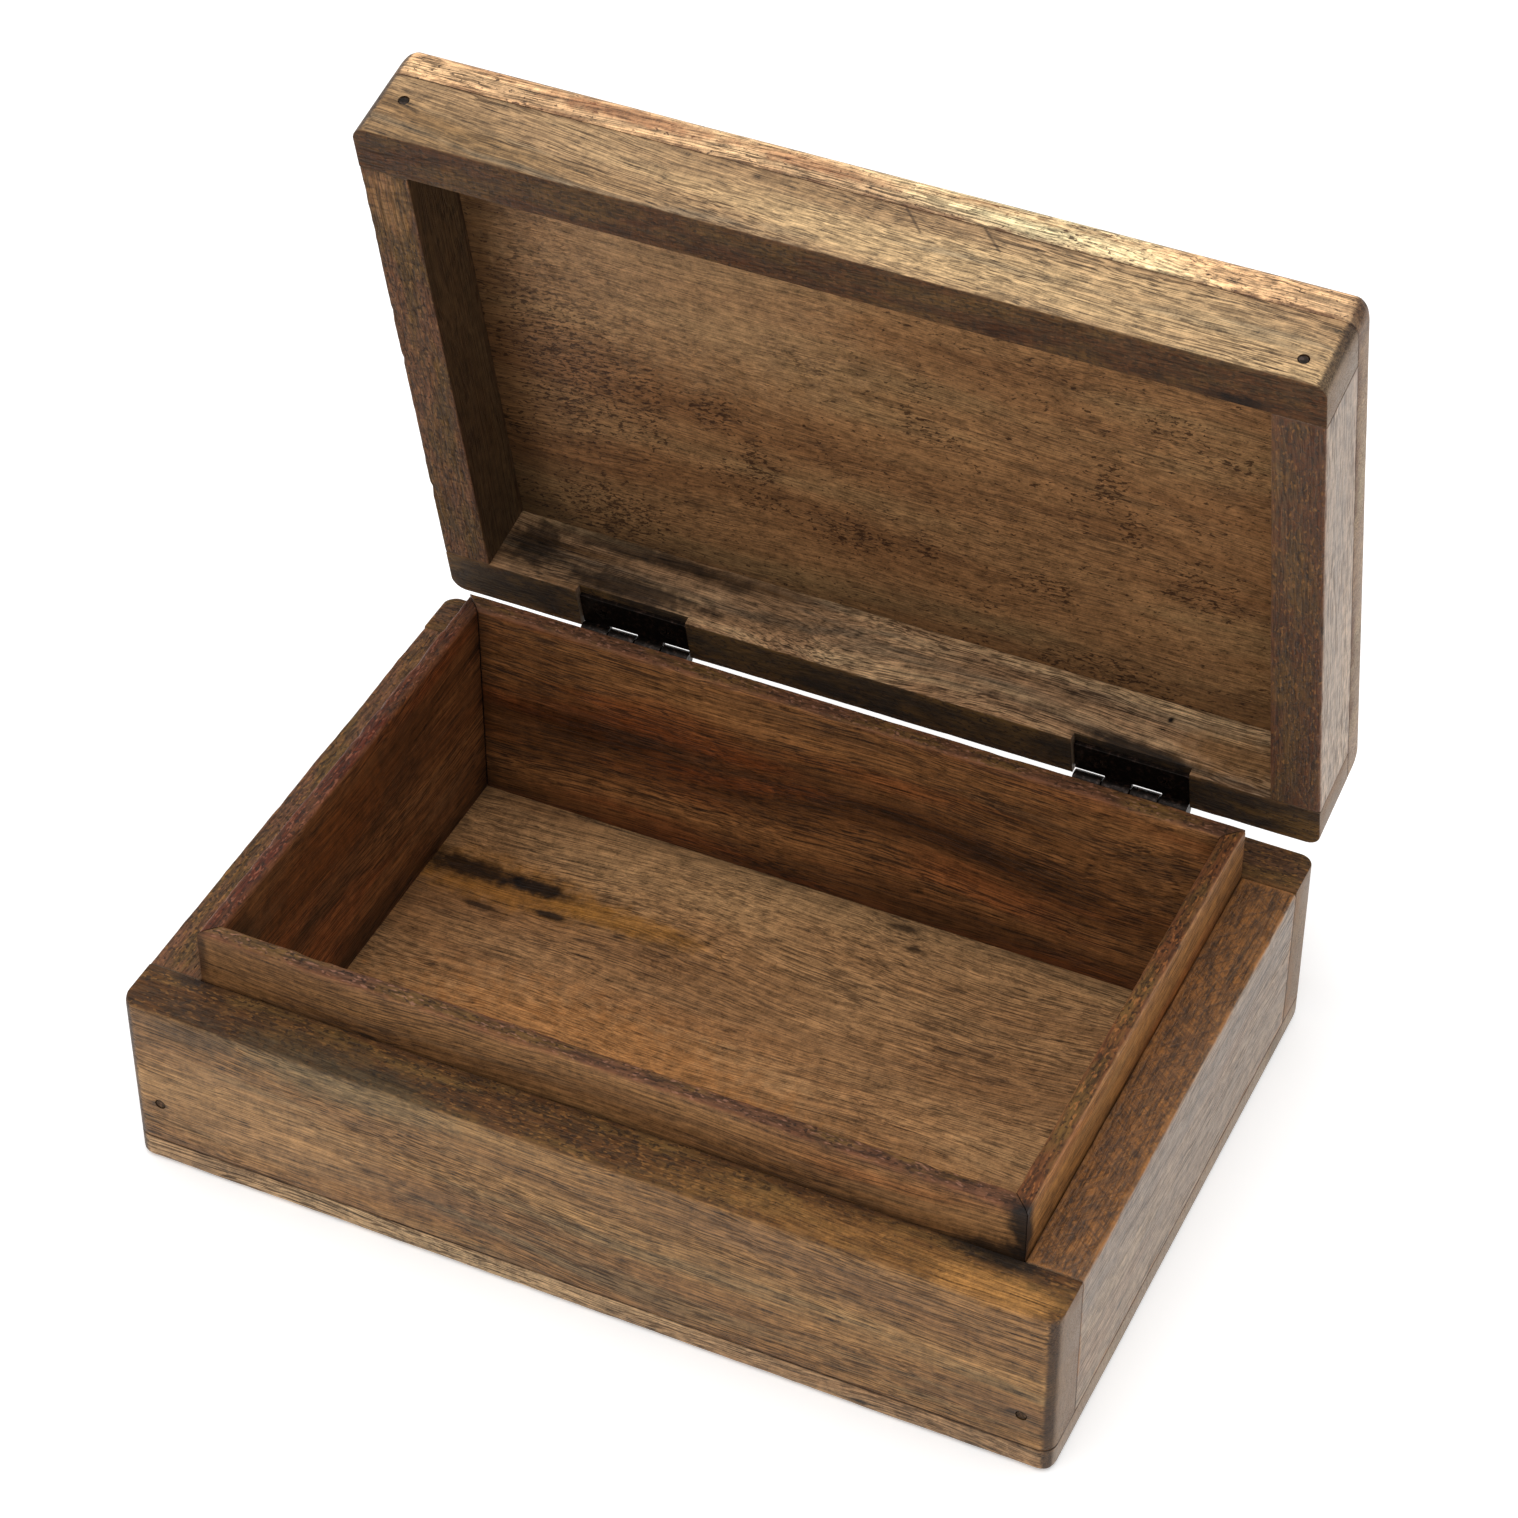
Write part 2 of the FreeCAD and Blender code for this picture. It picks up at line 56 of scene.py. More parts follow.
nodes = frame["nodes"]
mm = 0.001

# the lid's pieces are made shut, about the pin, and turned open by this matrix
lidHinge = frame["joints"][0]
openAngle = math.radians(-lidHinge["range_deg"][0])
lidPlace = Matrix.Translation(lidHinge["pos_m"]) @ Matrix.Rotation(openAngle, 4, Vector(lidHinge["axis"]))
basePlace = Matrix.Identity(4)
print("frame loaded:", len(nodes), "nodes")


def tone(code):
    # screen colour such as "8a6b48" as a linear colour
    parts = [int(code[i:i + 2], 16) / 255 for i in (0, 2, 4)]
    return [c / 12.92 if c <= 0.04045 else ((c + 0.055) / 1.055) ** 2.4 for c in parts] + [1.0]


class Signal:
    # an output socket that takes part in sums
    def __init__(self, finish, socket):
        self.finish = finish
        self.socket = socket

    def maths(self, operation, first, second):
        return self.finish.add("ShaderNodeMath", {"operation": operation}, {0: first, 1: second})

    def __add__(self, other):
        return self.maths("ADD", self, other)

    def __radd__(self, other):
        return self.maths("ADD", other, self)

    def __sub__(self, other):
        return self.maths("SUBTRACT", self, other)

    def __rsub__(self, other):
        return self.maths("SUBTRACT", other, self)

    def __mul__(self, other):
        return self.maths("MULTIPLY", self, other)

    def __rmul__(self, other):
        return self.maths("MULTIPLY", other, self)

    def __truediv__(self, other):
        return self.maths("DIVIDE", self, other)

    def __abs__(self):
        return self.maths("ABSOLUTE", self, 0)

    def larger(self, other):
        return self.maths("MAXIMUM", self, other)

    def smaller(self, other):
        return self.maths("MINIMUM", self, other)


class Finish:
    # node tree of a material or world
    def __init__(self, owner):
        owner.use_nodes = True
        self.owner = owner
        self.tree = owner.node_tree
        self.tree.nodes.clear()

    def add(self, kind, settings=None, sockets=None, out=0):
        node = self.tree.nodes.new(kind)
        for key, value in (settings or {}).items():
            if key == "stops":
                self.setStops(node.color_ramp, value)
            else:
                setattr(node, key, value)
        for key, value in (sockets or {}).items():
            if isinstance(value, Signal):
                self.tree.links.new(value.socket, node.inputs[key])
            else:
                node.inputs[key].default_value = value
        return Signal(self, node.outputs[out]) if len(node.outputs) else node

    def setStops(self, ramp, stops):
        while len(ramp.elements) < len(stops):
            ramp.elements.new(0.5)
        for element, (place, colour) in zip(ramp.elements, stops):
            element.position = place
            element.color = colour

    def ramp(self, value, stops):
        return self.add("ShaderNodeValToRGB", {"stops": stops}, {0: value})

    def between(self, value, low, high):
        # 0 below low and 1 above high, with a soft step
        return self.add("ShaderNodeMapRange", {"interpolation_type": "SMOOTHSTEP"},
                        {"Value": value, "From Min": low, "From Max": high})

    def blend(self, amount, first, second, kind="MIX"):
        return self.add("ShaderNodeMix", {"data_type": "RGBA", "blend_type": kind},
                        {0: amount, 6: first, 7: second}, 2)

    def shade(self, colour, value):
        return self.blend(1.0, colour, value, "MULTIPLY")

    def split(self, vector):
        first = self.add("ShaderNodeSeparateXYZ", {}, {0: vector})
        outputs = first.socket.node.outputs
        return [Signal(self, outputs[i]) for i in range(3)]

    def join(self, x, y, z):
        return self.add("ShaderNodeCombineXYZ", {}, {0: x, 1: y, 2: z})

    def directRays(self):
        # 1 for rays that show a surface to the camera, straight, mirrored or through glass
        rays = self.add("ShaderNodeLightPath").socket.node.outputs
        kinds = ("Camera", "Glossy", "Transmission")
        seen, mirrored, through = (Signal(self, rays[f"Is {kind} Ray"]) for kind in kinds)
        return seen.larger(mirrored).larger(through)

    def speckle(self, vector, detail=2.0, roughness=0.5, distortion=0.0):
        return self.add("ShaderNodeTexNoise", {}, {
            "Vector": vector, "Scale": 1.0, "Detail": detail, "Roughness": roughness, "Distortion": distortion})


# wood with the grain along one axis; lengths in millimetres
plainWood = {
    "along": "X", "seed": 1.0, "slant": 0.0, "bend": 9.0, "figureSize": (150.0, 16.0),
    "deep": "5e4429", "mid": "8d6f4d", "pale": "ab8a5f", "sides": {},
    "streak": 0.28, "fibre": 0.9, "mottle": 0.72,
    "ash": "6f6450", "ashAmount": 0.4, "warm": "a56a34", "warmAmount": 0.25,
    "pore": "2e1d12", "poreAmount": 0.75, "poreCut": (0.59, 0.67),
    "fleck": "3b1f10", "fleckAmount": 0.0, "fleckCut": (0.5, 0.66), "fleckHerds": [],
    "rim": None, "wear": "b27a44", "wearAmount": 0.35, "endTone": "30231c", "endSheen": "8a7562", "endAmount": 0.8,
    "cornerShade": [], "patches": [], "seams": [], "scratches": [],
    "roughness": 0.46, "gloss": 0.25,
}
plainRim = {
    "side": "+Z", "tone": "5b3f2c", "second": "5c4220", "amount": 0.92, "hatch": 0.2, "hatchStep": 0.8,
    "hatchLean": (0.62, -0.8), "grit": "a8743c", "gritAmount": 0.55, "pits": 0.8,
}
# layers of the grain: length along it, width across it, offset, detail and roughness
grainLayers = {
    "ash": (130.0, 5.0, 23.0, 3.0, 0.6), "warm": (70.0, 11.0, 31.0, 2.0, 0.5),
    "streak": (60.0, 1.6, 11.3, 3.0, 0.65), "fibre": (13.0, 0.3, 17.9, 1.0, 0.5),
    "crowd": (40.0, 9.0, 41.0, 1.0, 0.5), "pores": (6.0, 0.3, 47.0, 0.0, 0.5),
    "longPores": (18.0, 0.4, 53.0, 0.0, 0.5),
}
# share of a millimetre that each layer stands up or is cut in
relief = {
    "streak": 0.05, "fibre": 0.04, "pores": 0.12, "flecks": 0.05, "crumbs": 0.12, "sawCuts": 0.15, "pits": 0.1,
    "scratch": 0.2,
}
markTones = {"pits": "1d110a", "sawCuts": "2a1810", "seam": "1c120b", "scratch": "2a1b10"}
seedStep = 61.7  # how far apart two boards lie in the noise
# where each body's own frame lies
bodyFrames = {"base": ((0, 0, 0), (0, 0, 0)), "lid": (lidHinge["pos_m"], (-openAngle, 0, 0))}


def woodFinish(name, body, changes):
    look = {**plainWood, **changes}
    finish = Finish(bpy.data.materials.new(name))
    origin, turn = bodyFrames[body]
    here = finish.add("ShaderNodeMapping", {"vector_type": "TEXTURE"}, {
        "Vector": finish.add("ShaderNodeTexCoord", out=3), "Location": origin, "Rotation": turn,
        "Scale": (mm, mm, mm)})
    normal = finish.split(finish.add("ShaderNodeMapping", {"vector_type": "TEXTURE"}, {
        "Vector": finish.add("ShaderNodeTexCoord", out=1), "Rotation": turn}))
    x, y, z = finish.split(here)
    u, v, w = (x, y, z) if look["along"] == "X" else (y, x, z)
    shift = look["seed"] * seedStep

    def facing(side, low=0.45, high=0.85):
        toward = normal["XYZ".index(side[1])] * (1.0 if side[0] == "+" else -1.0)
        return finish.between(toward, low, high)

    # the grain wanders a little from the board's length
    swayV = finish.speckle(finish.join(u / 110 + shift, v / 38, w / 38), 1.0) - 0.5
    swayW = finish.speckle(finish.join(u / 90 - shift, v / 42, w / 42 + 9), 1.0) - 0.5
    ripple = (finish.speckle(finish.join(u / 9 + shift, v / 7, w / 7), 1.0) - 0.5) * 0.7
    v2 = v + swayV * look["bend"] + u * look["slant"] + ripple
    w2 = w + swayW * look["bend"] + u * look["slant"] + ripple

    def grain(length, width, offset, detail, roughness):
        place = finish.join(u / length + (shift + offset), v2 / width, w2 / width)
        return finish.speckle(place, detail, roughness)

    length, width = look["figureSize"]
    figure = grain(length, width, 3.1, 3.0, 0.55)
    colour = finish.ramp(figure, [(0.32, tone(look["deep"])), (0.5, tone(look["mid"])), (0.68, tone(look["pale"]))])
    ash = finish.between(grain(*grainLayers["ash"]), 0.52, 0.68)
    colour = finish.blend(ash * look["ashAmount"], colour, tone(look["ash"]))
    warm = finish.between(grain(*grainLayers["warm"]), 0.5, 0.7)
    colour = finish.blend(warm * look["warmAmount"], colour, tone(look["warm"]))

    # sides stained lighter or darker than the board's own tone, calmer in figure and with less grain; on the +X faces
    # of the right boards this tone is painted sheen
    grainShare = 1.0
    for side, (shown, calm, share) in look["sides"].items():
        grainShare = grainShare - facing(side) * (1 - share)
        change = [new / old for new, old in zip(tone(shown)[:3], tone(look["mid"])[:3])]
        stainAndSheen = finish.add("ShaderNodeVectorMath", {"operation": "MULTIPLY"}, {0: colour, 1: change})
        colour = finish.blend(facing(side), colour, finish.blend(calm, stainAndSheen, tone(shown)))

    streak = grain(*grainLayers["streak"])
    fibre = grain(*grainLayers["fibre"])
    mottle = finish.speckle(finish.join(x / 2.6 + shift, y / 2.6, z / 2.6), 4.0, 0.85)
    light = ((streak - 0.5) * (look["streak"] * 4) + (fibre - 0.5) * (look["fibre"] * 3)) * grainShare
    texture = 1.0 + light + (mottle - 0.5) * (look["mottle"] * 3)
    colour = finish.shade(colour, texture)

    # pores: short dark dashes, and a few longer ones
    crowd = finish.between(grain(*grainLayers["crowd"]), 0.3, 0.62)
    lowCut, highCut = look["poreCut"]
    pores = finish.between(grain(*grainLayers["pores"]), lowCut, highCut)
    longPores = finish.between(grain(*grainLayers["longPores"]), lowCut + 0.03, highCut + 0.03)
    pores = pores.larger(longPores) * (0.35 + crowd * 0.65) * grainShare
    colour = finish.blend(pores * look["poreAmount"], colour, tone(look["pore"]))

    height = streak * relief["streak"] + fibre * relief["fibre"] - pores * relief["pores"]
    rough = look["roughness"] + pores * 0.2 + (figure - 0.5) * 0.2

    ragged = (finish.speckle(finish.join(x / 3, y / 3, z / 3), 3.0, 0.6) - 0.5) * 1.1
    if look["fleckAmount"]:
        lowCut, highCut = look["fleckCut"]
        herd = finish.speckle(finish.join(u / 24 + shift, v / 16, w / 16), 2.0)
        herd = finish.between(herd, lowCut, highCut) * 0.6
        for place, size, strength in look["fleckHerds"]:
            herd = herd.larger(spread(finish, here, place, size, ragged) * strength)
        drops = finish.speckle(finish.join(u / 1.5, v / 0.75 + u / 4, w / 0.75 + shift), 2.0, 0.6, 0.5)
        flecks = finish.between(drops + herd * 0.14, 0.6, 0.7)
        colour = finish.blend(flecks * look["fleckAmount"], colour, tone(look["fleck"]))
        height = height - flecks * relief["flecks"]

    # end grain soaks up more stain: the rounded corners show the dark end tone, while the flat end faces take a pale
    # grey that is painted sheen
    endways = normal[0 if look["along"] == "X" else 1]
    ends = finish.between(abs(endways), 0.2, 0.5)
    rings = finish.speckle(finish.join(u / 5, v / 0.9, w / 2.4 + shift), 3.0, 0.65)
    endStainAndSheen = finish.blend(finish.between(abs(endways), 0.8, 0.99), tone(look["endTone"]), tone(look["endSheen"]))
    endStainAndSheen = finish.shade(endStainAndSheen, 0.4 + rings * 1.2)
    colour = finish.blend(ends * look["endAmount"], colour, endStainAndSheen)

    # rims keep the marks of the saw: crumbled grain, and cuts that cross
    if look["rim"]:
        rim = {**plainRim, **look["rim"]}
        sawn = facing(rim["side"], 0.5, 0.85)
        crumbs = finish.between(finish.speckle(finish.join(u / 4.5, v / 0.8, shift), 3.0, 0.7), 0.3, 0.7)
        patch = finish.speckle(finish.join(u / 20, v / 6, shift + 4), 3.0, 0.6)
        sawColour = finish.blend(finish.between(patch, 0.42, 0.62), tone(rim["tone"]), tone(rim["second"]))
        sawColour = finish.shade(sawColour, crumbs * 1.35 + patch * 0.65)
        grit = finish.between(finish.speckle(finish.join(u / 1.7, v / 0.6, shift + 7), 1.0), 0.58, 0.7)
        sawColour = finish.blend(grit * rim["gritAmount"], sawColour, tone(rim["grit"]))
        pits = finish.between(finish.speckle(finish.join(u / 1.2, v / 0.8, shift + 13), 1.0), 0.57, 0.67)
        sawColour = finish.blend(pits * rim["pits"], sawColour, tone(markTones["pits"]))
        lines = None
        for lean in rim["hatchLean"]:
            across = u * math.cos(lean) + v * math.sin(lean)
            beside = v * math.cos(lean) - u * math.sin(lean)
            cut = finish.speckle(finish.join(across / rim["hatchStep"], beside / 7.0, shift), 1.0)
            cut = finish.between(cut, 0.5, 0.64)
            lines = cut if lines is None else lines.larger(cut)
        sawColour = finish.blend(lines * rim["hatch"], sawColour, tone(markTones["sawCuts"]))
        colour = finish.blend(sawn * rim["amount"], colour, sawColour)
        texture = texture * (1.0 - sawn * lines * rim["hatch"])
        cuts = lines * (rim["hatch"] * relief["sawCuts"])
        height = height + sawn * (crumbs * relief["crumbs"] - cuts - pits * relief["pits"])
        rough = rough + sawn * 0.2

    # handling wears the edges
    edge = finish.add("ShaderNodeAttribute", {"attribute_name": "arris"}, {}, 2)
    scuff = finish.between(finish.speckle(finish.join(x / 6, y / 6, z / 6 + shift), 4.0, 0.65), 0.36, 0.62)
    worn = finish.between(edge, 0.35, 0.85) * scuff
    colour = finish.blend(worn * look["wearAmount"], colour, tone(look["wear"]))

    # painted shade: colour darkened towards these planes, in the corners, creases and recesses where shade falls
    for axis, place, reach, strength, *side in look["cornerShade"]:
        near = 1.0 - finish.between(abs((x, y, z)["XYZ".index(axis)] - place), 0.0, reach)
        near = near * facing(side[0]) if side else near
        colour = finish.shade(colour, 1.0 - near * (0.5 + mottle) * strength)

    for place, size, shown, strength in look["patches"]:
        stain = finish.shade(tone(shown), texture)
        colour = finish.blend(spread(finish, here, place, size, ragged) * strength, colour, stain)
    for start, end, strength in look["scratches"]:
        colour, height = scratch(finish, colour, height, here, start, end, strength)

    # joints with neighbouring boards read as thin dark lines
    for axis, place, strength in look["seams"]:
        i = "XYZ".index(axis)
        line = 1.0 - finish.between(abs((x, y, z)[i] - place), 0.12, 0.42)
        line = line * (1.0 - finish.between(abs(normal[i]), 0.8, 0.97))
        colour = finish.blend(line * (0.6 + scuff * 0.4) * strength, colour, tone(markTones["seam"]))

    bump = finish.add("ShaderNodeBump", {}, {"Strength": 0.7, "Distance": mm, "Height": height})
    shader = finish.add("ShaderNodeBsdfPrincipled", {}, {
        "Base Color": colour, "Roughness": rough, "Normal": bump, "IOR": 1.5, "Specular IOR Level": look["gloss"]})
    finish.add("ShaderNodeOutputMaterial", {}, {"Surface": shader})
    return finish.owner


def spread(finish, here, place, size, ragged):
    # 1 within an ellipsoid, fading out round it
    away = finish.add("ShaderNodeVectorMath", {"operation": "SUBTRACT"}, {0: here, 1: place})
    away = finish.add("ShaderNodeVectorMath", {"operation": "DIVIDE"}, {0: away, 1: size})
    away = finish.add("ShaderNodeVectorMath", {"operation": "LENGTH"}, {0: away}, 1)
    return 1.0 - finish.between(away + ragged, 0.35, 1.1)


def scratch(finish, colour, height, here, start, end, strength):
    # thin line from start to end, in millimetres
    line = Vector(end) - Vector(start)
    away = finish.add("ShaderNodeVectorMath", {"operation": "SUBTRACT"}, {0: here, 1: start})
    share = line / line.length_squared
    run = finish.add("ShaderNodeVectorMath", {"operation": "DOT_PRODUCT"}, {0: away, 1: share}, 1)
    run = run.larger(0.0).smaller(1.0)
    foot = finish.add("ShaderNodeVectorMath", {"operation": "SCALE"}, {0: tuple(line), "Scale": run})
    gap = finish.add("ShaderNodeVectorMath", {"operation": "DISTANCE"}, {0: away, 1: foot}, 1)
    mark = (1.0 - finish.between(gap, 0.08, 0.4)) * strength
    return finish.blend(mark, colour, tone(markTones["scratch"])), height - mark * relief["scratch"]


def darkMetal(name, look):
    finish = Finish(bpy.data.materials.new(name))
    spot = finish.add("ShaderNodeTexCoord", out=3)
    here = finish.add("ShaderNodeVectorMath", {"operation": "SCALE"}, {0: spot, "Scale": 1 / mm})
    cloud = finish.speckle(here, 5.0, 0.65)
    fine = finish.add("ShaderNodeTexNoise", {}, {"Vector": here, "Scale": 3.5, "Detail": 3.0})
    rust = finish.between(cloud, 0.52, 0.66)
    colour = finish.ramp(cloud, [(0.35, tone(look["dark"])), (0.6, tone(look["light"]))])
    colour = finish.blend(rust * look["rustAmount"], colour, tone(look["rust"]))
    bump = finish.add("ShaderNodeBump", {}, {"Strength": 0.5, "Distance": 0.0002, "Height": cloud * 0.6 + fine * 0.4})
    shader = finish.add("ShaderNodeBsdfPrincipled", {}, {
        "Base Color": colour, "Roughness": look["roughness"] + (fine - 0.5) * 0.3, "Metallic": 0.75 - rust * 0.6,
        "Normal": bump})
    finish.add("ShaderNodeOutputMaterial", {}, {"Surface": shader})
    return finish.owner


# studio
camera = {
    "place": (0.27828, -0.57975, 0.65900), "azimuth": 25.080, "elevation": 41.591, "roll": -0.095,
    "lens": 105.233, "sensor": 36.0,
}
studio = {
    "sky": 0.62, "floorColour": "f4f4f4", "floorGlow": 0.35, "floorHalf": 4.0, "floorDrop": 0.0002,
    "boxPlace": (-0.05, -0.12, 1.6), "boxAim": (0.0, 0.0, 0.05), "boxSize": 1.8, "boxPower": 15.0,
}
plainWhite = (1, 1, 1, 1)


def addCamera():
    data = bpy.data.cameras.new("camera")
    data.lens = camera["lens"]
    data.sensor_width = camera["sensor"]
    piece = bpy.data.objects.new("camera", data)
    bpy.context.scene.collection.objects.link(piece)
    turn = Matrix.Rotation(math.radians(camera["azimuth"]), 4, "Z")
    turn = turn @ Matrix.Rotation(math.radians(90 - camera["elevation"]), 4, "X")
    turn = turn @ Matrix.Rotation(math.radians(camera["roll"]), 4, "Z")
    piece.matrix_world = Matrix.Translation(camera["place"]) @ turn
    bpy.context.scene.camera = piece


def addStudio():
    scene = bpy.context.scene
    scene.view_settings.view_transform = "Standard"
    world = bpy.data.worlds.new("studio")
    scene.world = world
    finish = Finish(world)
    lit = finish.add("ShaderNodeBackground", {}, {"Color": plainWhite, "Strength": studio["sky"]})
    white = finish.add("ShaderNodeBackground", {}, {"Color": plainWhite, "Strength": 1.0})
    sky = finish.add("ShaderNodeMixShader", {}, {0: finish.directRays(), 1: lit, 2: white})
    finish.add("ShaderNodeOutputWorld", {}, {"Surface": sky})

    data = bpy.data.lights.new("softbox", "AREA")
    data.shape = "DISK"
    data.size = studio["boxSize"]
    data.energy = studio["boxPower"]
    box = bpy.data.objects.new("softbox", data)
    scene.collection.objects.link(box)
    box.location = studio["boxPlace"]
    aim = Vector(studio["boxAim"]) - Vector(studio["boxPlace"])
    box.rotation_euler = aim.to_track_quat("-Z", "Y").to_euler()

    # white floor that keeps the shadow, and glows a little for the camera alone
    mesh = bpy.data.meshes.new("floor")
    half = studio["floorHalf"]
    corners = [(-half, -half, 0), (half, -half, 0), (half, half, 0), (-half, half, 0)]
    mesh.from_pydata(corners, [], [(0, 1, 2, 3)])
    floor = bpy.data.objects.new("floor", mesh)
    scene.collection.objects.link(floor)
    floor.location.z = cadBounds[0][2] - studio["floorDrop"]
    finish = Finish(bpy.data.materials.new("floorPaper"))
    paper = finish.add("ShaderNodeBsdfDiffuse", {}, {"Color": tone(studio["floorColour"])})
    glow = finish.add("ShaderNodeEmission", {}, {"Color": plainWhite, "Strength": studio["floorGlow"]})
    both = finish.add("ShaderNodeAddShader", {}, {0: paper, 1: glow})
    shown = finish.add("ShaderNodeMixShader", {}, {0: finish.directRays(), 1: paper, 2: both})
    finish.add("ShaderNodeOutputMaterial", {}, {"Surface": shown})
    mesh.materials.append(finish.owner)


addCamera()
addStudio()
print("studio set")


def boxOf(points):
    low = Vector([min(p[i] for p in points) for i in range(3)])
    return low, Vector([max(p[i] for p in points) for i in range(3)])


def ownBox(node, place):
    # corners of a CAD node in its own body's frame
    back = place.inverted()
    return boxOf([back @ vertex.co for vertex in nodes[node].data.vertices])


def wobble(*at):
    return noise.noise(Vector(at))


def arc(radius, distance):
    # how far a quarter round stands back at a distance from its end
    if distance >= radius:
        return 0.0
    return radius - math.sqrt(max(0.0, radius ** 2 - (radius - distance) ** 2))


plainBoard = {
    "along": "X", "step": 1.6, "seed": 1.0,
    "edges": (0.3, 0.3, 0.3, 0.3),  # rounding of the long edges: v0w0, v1w0, v1w1, v0w1
    "rough": (0.3, 0.3, 0.3, 0.3),  # how uneven each of them is
    "chips": (0.0, 0.0, 0.0, 0.0),  # bites out of them
    "corner": (0.0, 0.0),  # rounding of the ends in plan, at v0 and v1
    "endEase": 0.25, "endRound": (0.0, 0.0),  # rounding of the ends at w0 and w1
    "notches": [], "mitre": 0, "uneven": 0.1,
    "lean": (0.0, 0.0),  # how far the v1 face leans out at w0, at either end of the board
    "lift": (0.0, 0.0),  # how far the top stands above the solid, at either end
}
# how every board is divided and worn, in millimetres
loft = {
    "endCuts": [0.0, 0.12, 0.35, 0.7, 1.1, 1.6, 2.2, 2.9, 3.8],  # stations near an end
    "stepV": 2.4, "stepW": 2.0, "arcPoints": 5,
    "leastRound": 0.06, "mostRound": 0.45,  # the second is a share of the section
    "longSway": 14.0, "shortSway": 3.1, "shortShare": 0.6,  # waves in the rounding of an edge
    "biteSize": 4.5, "biteCut": 0.28, "dentSize": 23.0, "arrisReach": 1.4, "seedStep": 13.7,
    "notchLip": 0.02, "notchRoom": 0.4, "notchRound": 0.12,
    "knuckleRoom": 2.2,  # up to here no face leans beside the knuckles
}


